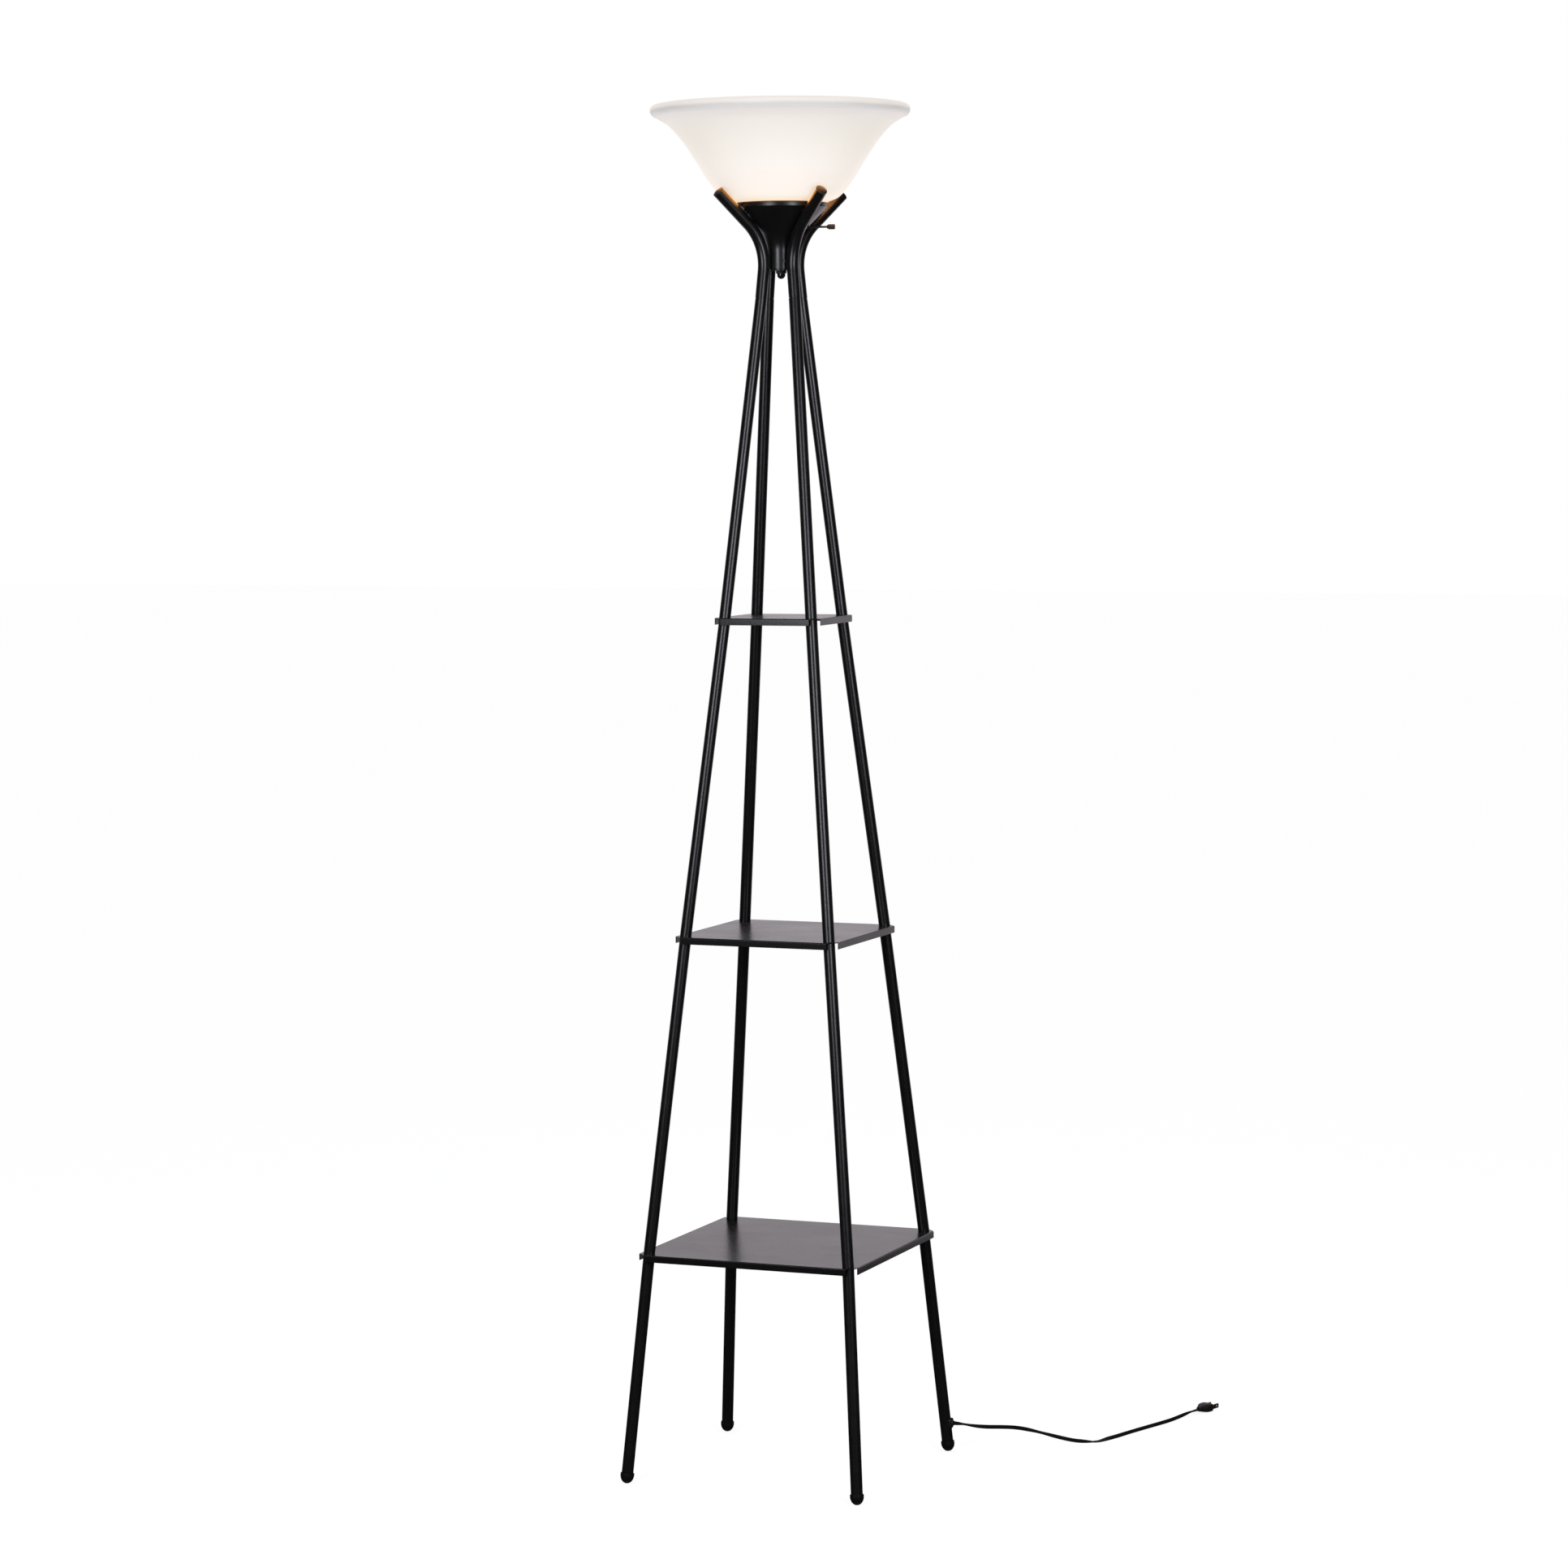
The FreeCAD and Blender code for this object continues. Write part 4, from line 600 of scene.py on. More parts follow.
def opal_glass(finish, seat, height):
    """Opal glass with painted light: warm and bright beside the bulb, cooler and dimmer up to the rim."""
    tint = tuple(finish.glass)
    material, tree, shader, where = new_material(
        "Opal glass", tint, Specular_IOR_Level=0.3, Roughness=0.42, Emission_Strength=1.0
    )
    upwards = put(tree, "ShaderNodeSeparateXYZ", Vector=where).outputs[2]
    cloud = noise(tree, where, 14, 3, 0.5)
    wavering = maths(tree, "MULTIPLY", maths(tree, "SUBTRACT", cloud, 0.5), 1.5 * MM)
    lowest = seat - 8.0 * MM
    level = span(tree, maths(tree, "ADD", upwards, wavering), lowest, seat + height, 0.0, 1.0)
    # Painted light: the emission stands in for the bulb's light through the glass, brightest at the cup, with
    # painted shade under the rolled rim and a painted highlight on the rim.
    glow = ramp(
        tree,
        level,
        (0.00, (0.95, 0.56, 0.24)),
        (0.06, (0.74, 0.56, 0.36)),
        (0.085, (0.68, 0.58, 0.47)),
        (0.16, (0.62, 0.54, 0.46)),
        (0.40, (0.57, 0.52, 0.46)),
        (0.64, (0.51, 0.47, 0.40)),
        (0.82, (0.48, 0.44, 0.39)),
        (0.88, (0.42, 0.39, 0.375)),
        (0.922, (0.27, 0.265, 0.26)),
        (0.937, (0.30, 0.27, 0.24)),
        (0.955, (0.46, 0.42, 0.38)),
        (0.985, (0.57, 0.53, 0.49)),
    )
    # Painted light: glossy rays meet the full warm light, which a shown surface would clip, so the arms
    # mirror a painted warm glow.
    warm = (1.0, 0.42, 0.11)
    strength = span(tree, level, 0.05, 0.5, 6.5, 1.8)
    glare = put(tree, "ShaderNodeVectorMath", {"operation": "SCALE"}, i0=warm, Scale=strength).outputs[0]
    mirrored = put(tree, "ShaderNodeLightPath").outputs["Is Glossy Ray"]
    tree.links.new(tinted(tree, mirrored, glow, glare), shader.inputs["Emission Color"])
    tree.links.new(ramp(tree, cloud, (0.3, scaled(tint, 0.985)), (0.7, tint)), shader.inputs[0])
    bump(tree, shader, noise(tree, where, 260, 2, 0.5), 0.03, 0.0001)
    return material


def lit_bulb():
    """Frosted bulb glass with a bright middle that fades towards its neck."""
    material, tree, shader, where = new_material(
        "Lit bulb", (0.9, 0.88, 0.82), Roughness=0.45, Emission_Strength=1.0
    )
    height = put(tree, "ShaderNodeSeparateXYZ", Vector=where).outputs[2]
    level = span(tree, height, bottom_of("bulb_glass"), top_of("bulb_glass"), 0.0, 1.0)
    glow = ramp(tree, level, (0.2, (0.5, 0.38, 0.22)), (0.5, (1.0, 0.86, 0.62)), (1.0, (1.0, 0.93, 0.78)))
    tree.links.new(glow, shader.inputs["Emission Color"])
    frost = noise(tree, where, 500, 2, 0.5)
    tree.links.new(ramp(tree, frost, (0.3, (0.80, 0.78, 0.72)), (0.7, (0.88, 0.86, 0.80))), shader.inputs[0])
    return material


TREES = {}
FINISHES = {}


def prepare(scene):
    """Makes the node trees and materials that the pieces share."""
    finish = scene.lamp_finish
    TREES.update(lathe=lathe_tree(), tube=tube_tree(), scatter=scatter_tree(), ring=ring_tree())
    plastic = tuple(finish.plastic)
    seat = CUP_TOP_Z + scene.lamp_head.shade_gap
    FINISHES.update(
        paint=satin_paint(finish),
        shelf=shelf_paint(finish),
        rubber=rubber(finish),
        cap=moulded("Cap plastic", plastic, 0.34, 0.44),
        hardware=moulded("Black fasteners", plastic, 0.16, 0.26, 0.5, 400.0),
        knob=moulded("Knob plastic", scaled(plastic, 1.5), 0.30, 0.42, 0.4),
        vinyl=moulded("Cord vinyl", tuple(finish.vinyl), 0.38, 0.52, 0.3),
        block=moulded("Switch block", scaled(plastic, 2.5), 0.4, 0.55),
        sleeve=moulded("Fibre sleeve", (0.34, 0.28, 0.18), 0.7, 0.85, 0.2, 500.0),
        brass=metal("Satin brass", tuple(finish.brass), 0.24, 0.38, (1, 1, 6)),
        steel=metal("Plated steel", tuple(finish.steel), 0.22, 0.36),
        spigot=metal("Dark zinc", (0.035, 0.035, 0.037), 0.35, 0.5),
        liner=metal("Rolled aluminium", (0.60, 0.60, 0.59), 0.2, 0.34, (1, 1, 5)),
        opal=opal_glass(finish, seat, top_of("shade") - seat),
        bulb=lit_bulb(),
    )


# ---- stand ----------------------------------------------------------------------------------------
RUN_ON = 0.8 * MM  # how far a tube's path goes on past the level at which it is pressed flat
FOOT_FLAT = 0.5 * MM  # how much of the dome is pressed flat on the floor
FOOT_SEAT = 1.0 * MM  # the tube's end above the dome's centre


def leg_levels(stand, head):
    """Height, half spacing and turn of each level that the legs pass."""
    return {
        "floor": (0.0, stand.floor_half, stand.floor_turn),
        "bottom": (stand.bottom_z, stand.bottom_half, 0.0),
        "middle": (stand.middle_z, stand.middle_half, 0.0),
        "top": (stand.top_z, stand.top_half, stand.top_turn),
        "seam": (stand.seam_z, stand.seam_half, head.turn),
    }


def leg_point(levels, level, corner):
    """Where a leg's axis passes a level."""
    z, half, turn = levels[level]
    side_x, side_y = CORNERS[corner]
    return spun(side_x * half, side_y * half, z, turn)


def foot_place(stand, levels, corner):
    """The dome's centre and the leg's direction at the foot."""
    low = leg_point(levels, "floor", corner)
    direction = (leg_point(levels, "bottom", corner) - low).normalized()
    return low + direction * ((stand.foot_radius - FOOT_FLAT) / direction.z), direction


class LAMP_OT_legs(bpy.types.Operator):
    """Build the sixteen leg tubes between the floor, the shelves and the arms"""

    bl_idname = "lamp.legs"
    bl_label = "Legs"

    def execute(self, context):
        stand = context.scene.lamp_stand
        levels = leg_levels(stand, context.scene.lamp_head)
        radius = stand.tube_diameter / 2
        sections = {
            "foot_tube": ("floor", "bottom", stand.sheet),
            "lower_tube": ("bottom", "middle", stand.sheet),
            "middle_tube": ("middle", "top", stand.sheet),
            "upper_tube": ("top", "seam", SEAM_GAP),
        }
        for section, (lower, upper, gap) in sections.items():
            for corner in CORNERS:
                start = leg_point(levels, lower, corner)
                end = leg_point(levels, upper, corner)
                direction = (end - start).normalized()
                low = levels[lower][0]
                high = levels[upper][0] - gap
                start -= direction * RUN_ON
                if lower == "floor":
                    centre, direction = foot_place(stand, levels, corner)
                    start = centre + direction * FOOT_SEAT
                end += direction * (RUN_ON - gap / direction.z)
                node = f"{section}_{corner}"
                piece = tube(f"{node}_steel", [start, end], radius, FINISHES["paint"], low, high)
                finished(piece, FINISHES["paint"], "stand", "black", node)
        spigots = ("bottom_shelf_spigots", "middle_shelf_spigots", "top_shelf_spigots", "arm_spigots")
        repaint(FINISHES["spigot"], *spigots)
        return {"FINISHED"}


class LAMP_OT_feet(bpy.types.Operator):
    """Build the four domed rubber feet"""

    bl_idname = "lamp.feet"
    bl_label = "Feet"

    def execute(self, context):
        stand = context.scene.lamp_stand
        levels = leg_levels(stand, context.scene.lamp_head)
        radius = stand.foot_radius
        play = 0.15 * MM
        recess = stand.tube_diameter / 2 + play
        widest = 2.3 * MM
        collar = 4.9 * MM
        edge = 0.5 * MM
        eased_edge = 0.3 * edge
        dome = arc((0, 0), radius, -90, 0, 18)
        profile = [(x, widest + y * (radius + widest) / radius) for x, y in dome]
        profile += [(radius, collar - edge), (radius - 0.5 * eased_edge, collar - eased_edge)]
        profile += [(radius - edge, collar), (recess + eased_edge, collar), (recess, collar - eased_edge)]
        profile += [(recess, FOOT_SEAT), (0, FOOT_SEAT)]
        for corner in CORNERS:
            centre, direction = foot_place(stand, levels, corner)
            name = f"foot_{corner}"
            piece = lathe(f"{name}_rubber", profile, FINISHES["rubber"], 48, along(direction, centre))
            pressed_to_floor(piece)
            finished(piece, FINISHES["rubber"], "stand", "foot_rubber", name)
        return {"FINISHED"}


def shelf_mesh(name, half, top, stand):
    """A folded sheet: a flat with trimmed corners, relief notches and a bent lip on each side."""
    corner_cut = 12.6 * MM
    notch = 1.6 * MM
    deep = 2.6 * MM
    bend = 1.6 * MM
    thick = stand.sheet
    run = half - corner_cut
    outline = []
    for quarter in range(4):
        side = [
            (-run - notch, -half + notch),
            (-run - notch, -half + deep),
            (-run, -half + deep),
            (-run, -half + bend),
            (run, -half + bend),
            (run, -half + deep),
            (run + notch, -half + deep),
            (run + notch, -half + notch),
        ]
        outline += [spun(x, y, 0, quarter * math.pi / 2) for x, y in side]
    shell = bmesh.new()
    upper = [shell.verts.new((p.x, p.y, top)) for p in outline]
    lower = [shell.verts.new((p.x, p.y, top - thick)) for p in outline]
    shell.faces.new(upper)
    shell.faces.new(lower[::-1])
    fold = 3  # which edge of each side stays open, because the lip goes on from it
    for k in range(len(outline)):
        if k % len(side) != fold:
            after = (k + 1) % len(outline)
            shell.faces.new((upper[k], lower[k], lower[after], upper[after]))
    steps = 6
    edge = 0.25 * MM
    outside = arc((-bend, -bend), bend, 90, 0, steps)
    inside = arc((-bend, -bend), bend - thick, 0, 90, steps)
    foot = -stand.lip_height
    lip_end = [(0, foot + edge), (-edge, foot), (edge - thick, foot), (-thick, foot + edge)]
    section = outside + lip_end + inside
    for quarter in range(4):
        rings = []
        for x in (-run, run):
            points = [spun(x, -half - out, top + up, quarter * math.pi / 2) for out, up in section]
            rings.append([shell.verts.new(point) for point in points])
        for k in range(len(section) - 1):
            shell.faces.new((rings[0][k], rings[0][k + 1], rings[1][k + 1], rings[1][k]))
        shell.faces.new(rings[0])
        shell.faces.new(rings[1][::-1])
    touching = 1e-6
    bmesh.ops.remove_doubles(shell, verts=shell.verts, dist=touching)
    bmesh.ops.recalc_face_normals(shell, faces=shell.faces)
    return shell_object(name, shell)


class LAMP_OT_shelves(bpy.types.Operator):
    """Build the three folded sheet-metal shelves"""

    bl_idname = "lamp.shelves"
    bl_label = "Shelves"

    def execute(self, context):
        stand = context.scene.lamp_stand
        levels = leg_levels(stand, context.scene.lamp_head)
        for level in ("bottom", "middle", "top"):
            top, half_spacing, turn = levels[level]
            node = f"{level}_shelf"
            piece = shelf_mesh(f"{node}_sheet", half_spacing + stand.overhang, top, stand)
            soften = piece.modifiers.new("Broken edges", "BEVEL")
            soften.width = 0.22 * MM
            soften.segments = 2
            soften.limit_method = "ANGLE"
            soften.angle_limit = math.radians(50)
            level_out = piece.modifiers.new("Flat faces stay flat", "WEIGHTED_NORMAL")
            level_out.weight = 100
            smoothed(piece)
            baked(piece, Matrix.Rotation(turn, 4, "Z"))
            finished(piece, FINISHES["shelf"], "stand", "black", node)
        return {"FINISHED"}


# ---- head -----------------------------------------------------------------------------------------
NIPPLE_HOLE = 4.05 * MM  # radius of the holes that the threaded nipple passes
SCREW_BELOW_RIM = 19.75 * MM  # where a cup screw's axis crosses its arm's, below the cup's rim
# The shade's outside in (radius, height) from its seat, in millimetres: what dips into the cup, the bell
# above the seat, and the rolled rim.
SHADE_SKIRT = ((38.0, -6.0), (49.5, -4.0))
SHADE_BELL = ((76.43, 7.4), (94.64, 28.7), (110.4, 54.0), (127.0, 79.4), (146.2, 100.7), (160.0, 109.6))
SHADE_RIM = ((167.3, 113.6), (169.8, 119.2), (168.6, 123.9), (163.4, 126.6), (158.9, 125.0))
RIM_TOP = 3  # which point of the rim is the highest


def arm_profile(stand, head):
    """The arm's centre line as (radius, height) points and its end direction."""
    seam = (stand.seam_half * math.sqrt(2), stand.seam_z)
    throat_r = head.neck_radius + head.neck_gap + stand.tube_diameter / 2
    centre = (throat_r + head.arm_bend, stand.seam_z + head.throat_height)
    across = centre[0] - seam[0]
    rise = centre[1] - seam[1]
    lean = math.atan2(across, rise) - math.asin(head.arm_bend / math.hypot(across, rise))
    steps = 30
    points = [seam]
    for k in range(steps + 1):
        a = lean + (head.arm_flare - lean) * k / steps
        points.append((centre[0] - head.arm_bend * math.cos(a), centre[1] + head.arm_bend * math.sin(a)))
    flare = Vector((math.sin(head.arm_flare), math.cos(head.arm_flare)))
    last = Vector(points[-1]) + flare * head.arm_tip
    points.append(tuple(last))
    return points, flare


def arm_turn(head, corner):
    """The angle round the lamp axis at which an arm stands."""
    side_x, side_y = CORNERS[corner]
    return math.atan2(side_y, side_x) + head.turn


class LAMP_OT_arms(bpy.types.Operator):
    """Build the four curved arms and the caps in their ends"""

    bl_idname = "lamp.arms"
    bl_label = "Arms"

    def execute(self, context):
        stand = context.scene.lamp_stand
        head = context.scene.lamp_head
        radius = stand.tube_diameter / 2
        profile, flare = arm_profile(stand, head)
        tips = []
        facings = []
        for corner in CORNERS:
            turn = arm_turn(head, corner)
            path = [spun(r, 0, z, turn) for r, z in profile]
            path[0] -= (path[1] - path[0]).normalized() * RUN_ON
            piece = tube(f"arm_{corner}_steel", path, radius, FINISHES["paint"], stand.seam_z)
            finished(piece, FINISHES["paint"], "stand", "black", f"arm_{corner}")
            tips.append(path[-1])
            facings.append(spun(flare.x, 0, flare.y, turn))
        dome = 1.6 * MM
        rim = 0.35 * MM
        sphere = (radius**2 + dome**2) / (2 * dome)
        bottom = -7.0 * MM
        plug = radius - 0.9 * MM
        outline = [(0, bottom), (plug, bottom), (plug, 0), (radius - 0.5 * rim, 0), (radius, 0.4 * rim)]
        outline += arc((0, dome - sphere), sphere, math.degrees(math.acos((radius - rim) / sphere)), 90, 10)
        cap = lathe("cap_shape", outline, FINISHES["cap"], 48)
        caps = facing_points("arm_end_caps_moulded", tips, facings)
        shaped(caps, TREES["scatter"], None, Part=cap, Material=FINISHES["cap"])
        discard(cap)
        finished(caps, FINISHES["cap"], "stand", "cap_plastic", "arm_end_caps")
        return {"FINISHED"}


def cup_side(head, wall):
    """The cup's side moved in by a wall, from the neck's top to the rim."""
    centre = (head.neck_radius + head.cup_flare, NECK_BOTTOM_Z + head.neck_height)
    flare = arc(centre, head.cup_flare + wall, 180, 180 - math.degrees(head.cup_angle), 20)
    band = 6.6 * MM
    step = 0.4 * MM
    cone_end_r = head.cup_radius - step - wall
    cone_end_z = flare[-1][1] + (cone_end_r - flare[-1][0]) / math.tan(head.cup_angle)
    rim_r = head.cup_radius - wall
    return flare + [(cone_end_r, cone_end_z), (rim_r, cone_end_z + step), (rim_r, CUP_TOP_Z - 0.5 * band)]


class LAMP_OT_cup(bpy.types.Operator):
    """Build the trumpet-shaped cup and paint its spacers"""

    bl_idname = "lamp.cup"
    bl_label = "Cup"

    def execute(self, context):
        head = context.scene.lamp_head
        wall = head.cup_wall
        low = NECK_BOTTOM_Z
        outer = cup_side(head, 0.0)
        inner = cup_side(head, wall)
        edge = 0.7 * MM
        bottom = [(NIPPLE_HOLE, low)] + arc((head.neck_radius - edge, low + edge), edge, -90, 0, 5)
        round_r = wall / 2
        top = arc((head.cup_radius - round_r, CUP_TOP_Z - round_r), round_r, 0, 180, 8)
        floor = [(head.neck_radius - wall, low + wall), (NIPPLE_HOLE, low + wall), (NIPPLE_HOLE, low)]
        profile = bottom + outer + top + inner[::-1] + floor
        piece = lathe("cup_spun", profile, FINISHES["paint"], 112)
        finished(piece, FINISHES["paint"], "stand", "black", "cup")
        repaint(FINISHES["paint"], "cup_spacers")
        return {"FINISHED"}


class LAMP_OT_fasteners(bpy.types.Operator):
    """Build the nuts under the neck and the screws inside the cup"""

    bl_idname = "lamp.fasteners"
    bl_label = "Fasteners"

    def execute(self, context):
        black = FINISHES["hardware"]
        self.neck_nut(black)
        self.dome_nut(black)
        self.cup_screws(context.scene.lamp_stand, context.scene.lamp_head, black)
        repaint(FINISHES["cap"], "neck_set_screw")
        repaint(FINISHES["paint"], "neck_washer")
        repaint(FINISHES["steel"], "nipple", "inner_locknuts")
        return {"FINISHED"}

    def neck_nut(self, black):
        """The hex nut, a six-sided turned piece with its corners taken off."""
        low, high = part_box("neck_nut")
        radius = (high[1] - low[1]) / 2 / math.cos(math.pi / 6)
        z0 = low[2]
        z1 = high[2]
        edge = 0.6 * MM
        face = radius - 1.6 * edge
        profile = [(NIPPLE_HOLE, z0), (face, z0), (radius, z0 + edge), (radius, z1 - edge), (face, z1)]
        profile += [(NIPPLE_HOLE, z1), (NIPPLE_HOLE, z0)]
        piece = lathe("neck_nut_turned", profile, black, 6)
        finished(piece, black, "stand", "black_hardware", "neck_nut")

    def dome_nut(self, black):
        """The round-ended nut on the nipple's lower end."""
        low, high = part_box("dome_nut")
        radius = (high[0] - low[0]) / 2
        z0 = low[2]
        z1 = high[2]
        edge = 0.25 * MM
        bottom_of_hole = z1 - 4.6 * MM
        profile = arc((0, z0 + radius), radius, -90, 0, 14)
        profile += [(radius, z1 - edge), (radius - edge, z1), (NIPPLE_HOLE, z1)]
        profile += [(NIPPLE_HOLE, bottom_of_hole), (0, bottom_of_hole)]
        piece = lathe("dome_nut_turned", profile, black, 48)
        finished(piece, black, "stand", "black_hardware", "dome_nut")

    def cup_screws(self, stand, head, black):
        """Pan-head screws with a cross recess, standing on the cup's inner wall."""
        shank = 1.9 * MM
        pan = 3.7 * MM
        rise = 2.2 * MM
        depth = 7.4 * MM
        outline = [(0, -depth), (shank, -depth), (shank, 0), (pan, 0), (pan, 0.45 * rise)]
        outline += [(0.93 * pan, 0.72 * rise), (0.76 * pan, 0.9 * rise), (0.45 * pan, rise), (0, rise)]
        screw = lathe("screw_shape", outline, black, 32)
        slot_size = (1.1 * pan, 0.8 * MM, 0.9 * rise, 1)
        for turn in (0, math.pi / 2):
            block = bmesh.new()
            bmesh.ops.create_cube(block, size=1.0)
            place = Matrix.Rotation(turn, 4, "Z") @ Matrix.Translation((0, 0, rise))
            block.transform(place @ Matrix.Diagonal(slot_size))
            slot = shell_object("slot_shape", block)
            cut = screw.modifiers.new("Recess", "BOOLEAN")
            cut.object = slot
            cut.operation = "DIFFERENCE"
            baked(screw)
            discard(slot)
        normal = Vector((-math.cos(head.arm_flare), math.sin(head.arm_flare)))
        seat = self.head_seat(arm_profile(stand, head)[0], normal, rise, pan)
        turns = [arm_turn(head, corner) for corner in CORNERS]
        seats = [spun(seat.x, 0, seat.y, turn) for turn in turns]
        facings = [spun(normal.x, 0, normal.y, turn) for turn in turns]
        screws = facing_points("cup_screws_cross", seats, facings)
        shaped(screws, TREES["scatter"], None, Part=screw, Material=black)
        discard(screw)
        finished(screws, black, "stand", "black_hardware", "cup_screws")

    def head_seat(self, profile, normal, rise, pan):
        """Where a screw head's underside stands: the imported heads' highest point gives its reach."""
        tip_low, tip = Vector(profile[-2]), Vector(profile[-1])
        line = (tip - tip_low).normalized()
        foot = tip_low + line * ((CUP_TOP_Z - SCREW_BELOW_RIM - tip_low.y) / line.y)
        highest = rise * normal.y + pan * abs(normal.x)
        return foot + normal * ((top_of("cup_screws") - foot.y - highest) / normal.y)


class LAMP_OT_socket(bpy.types.Operator):
    """Finish the lamp socket, its switch block and the lead inside the lamp"""

    bl_idname = "lamp.socket"
    bl_label = "Socket"

    def execute(self, context):
        repaint(FINISHES["brass"], "socket_cap", "socket_shell", "centre_contact")
        repaint(FINISHES["sleeve"], "socket_sleeve")
        repaint(FINISHES["block"], "switch_body")
        repaint(FINISHES["liner"], "screw_shell")
        repaint(FINISHES["vinyl"], "inner_lead")
        return {"FINISHED"}


class LAMP_OT_switch(bpy.types.Operator):
    """Build the ribbed switch knob on its rod"""

    bl_idname = "lamp.switch"
    bl_label = "Switch"

    def execute(self, context):
        head = context.scene.lamp_head
        joint = {item["name"]: item for item in frame["record"]["behaviour"]["joints"]}["switch_turn"]
        axis = Vector(joint["axis"]).normalized()
        origin = Vector(joint["pos_m"])
        low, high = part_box("switch_knob")
        middle = (Vector(low) + Vector(high)) / 2
        centre = origin + axis * (middle - origin).dot(axis)
        half = 10.3 * MM / 2
        radius = 3.15 * MM
        neck = 2.3 * MM
        edge = 0.35 * MM
        profile = [(0, -half), (neck, -half), (neck, -half + 0.8 * MM), (radius, -half + 1.7 * MM)]
        profile += [(radius, half - edge), (radius - edge, half), (0, half)]
        knob = lathe("switch_knob_ribbed", profile, FINISHES["knob"], 48)
        rib = self.rib(radius, half)
        place = along(axis, centre)
        shaped(knob, TREES["ring"], place, Rib=rib, Count=head.knob_ribs, Material=FINISHES["knob"])
        discard(rib)
        finished(knob, FINISHES["knob"], "switch", "knob_plastic", "switch_knob")
        repaint(FINISHES["cap"], "switch_rod")
        return {"FINISHED"}

    def rib(self, radius, half):
        """One low rounded rib along the knob."""
        wide = 0.42 * MM
        high = 0.30 * MM
        sunk = -0.1 * MM
        slope = (0.7 * wide, 0.7 * high)
        section = [(-wide, sunk), (-slope[0], slope[1]), (0, high), slope, (wide, sunk)]
        ends = (-half + 1.8 * MM, half - 0.45 * MM)
        points = [(radius + up, side, z) for z in ends for side, up in section]
        return mesh_object("rib_shape", points, (), ring_faces(len(ends), len(section)))


class LAMP_OT_bulb(bpy.types.Operator):
    """Build the frosted bulb and finish its cap"""

    bl_idname = "lamp.bulb"
    bl_label = "Bulb"

    def execute(self, context):
        head = context.scene.lamp_head
        radius = head.bulb_radius
        low = bottom_of("bulb_glass")
        globe = top_of("bulb_glass") - radius
        neck = 12.0 * MM
        shoulder = top_of("bulb_cap")
        start = -38.0
        ball = arc((0, globe), radius, start, 90, 28)
        waist = ball[0]
        side = []
        steps = 12
        for k in range(steps):
            t = k / steps
            ease = 0.55 * t * t * (3 - 2 * t) + 0.45 * t**1.7
            side.append((neck + (waist[0] - neck) * ease, shoulder + (waist[1] - shoulder) * t))
        profile = [(0, low), (neck, low)] + side + ball
        piece = lathe("bulb_glass_frosted", profile, FINISHES["bulb"], 64)
        finished(piece, FINISHES["bulb"], "bulb", "bulb_glass", "bulb_glass")
        repaint(FINISHES["liner"], "bulb_cap")
        repaint(FINISHES["brass"], "bulb_tip")
        return {"FINISHED"}


def smooth_through(points, steps):
    """A smooth row of points through the given ones (centripetal Catmull-Rom)."""
    padded = [Vector(p) for p in points]
    padded = [2 * padded[0] - padded[1]] + padded + [2 * padded[-1] - padded[-2]]
    row = []
    for p0, p1, p2, p3 in zip(padded, padded[1:], padded[2:], padded[3:]):
        t1 = (p1 - p0).length ** 0.5
        t2 = t1 + (p2 - p1).length ** 0.5
        t3 = t2 + (p3 - p2).length ** 0.5
        for k in range(steps):
            t = t1 + (t2 - t1) * k / steps
            a1 = p0 * (t1 - t) / t1 + p1 * t / t1
            a2 = p1 * (t2 - t) / (t2 - t1) + p2 * (t - t1) / (t2 - t1)
            a3 = p2 * (t3 - t) / (t3 - t2) + p3 * (t - t2) / (t3 - t2)
            b1 = a1 * (t2 - t) / t2 + a2 * t / t2
            b2 = a2 * (t3 - t) / (t3 - t1) + a3 * (t - t1) / (t3 - t1)
            row.append(b1 * (t2 - t) / (t2 - t1) + b2 * (t - t1) / (t2 - t1))
    return row + [padded[-2]]


def offset(row, distance):
    """A row of points moved sideways, inwards and up."""
    moved = []
    for k, point in enumerate(row):
        step = (row[min(k + 1, len(row) - 1)] - row[max(k - 1, 0)]).normalized()
        moved.append(point + Vector((-step.y, step.x)) * distance)
    return moved


class LAMP_OT_shade(bpy.types.Operator):
    """Build the glass bowl shade with its rolled rim"""

    bl_idname = "lamp.shade"
    bl_label = "Shade"

    def execute(self, context):
        head = context.scene.lamp_head
        seat = CUP_TOP_Z + head.shade_gap
        inside_rim = ((head.cup_radius - head.cup_wall) / MM, 0)
        bell = self.placed(SHADE_SKIRT + (inside_rim,) + SHADE_BELL, seat)
        roll = self.placed(SHADE_RIM, seat)
        outer = smooth_through(bell, 9)
        inner = offset(outer, head.glass)
        turn_in = Vector((inner[-1].x, (inner[-1].y + roll[RIM_TOP].y) / 2))
        steps = 5
        rim = smooth_through(outer[-2:] + roll + [turn_in, inner[-1], inner[-2]], steps)[steps:-steps]
        edge = smooth_through([inner[1], inner[0], outer[0], outer[1]], steps)[steps:-steps]
        profile = outer[:-1] + rim + inner[::-1][1:-1] + edge + [outer[0]]
        piece = lathe("shade_opal_glass", [tuple(p) for p in profile], FINISHES["opal"], 144)
        finished(piece, FINISHES["opal"], "shade", "shade_glass", "shade")
        return {"FINISHED"}

    def placed(self, points, seat):
        """Points in millimetres from the seat, put in their place."""
        return [Vector((r * MM, seat + z * MM)) for r, z in points]


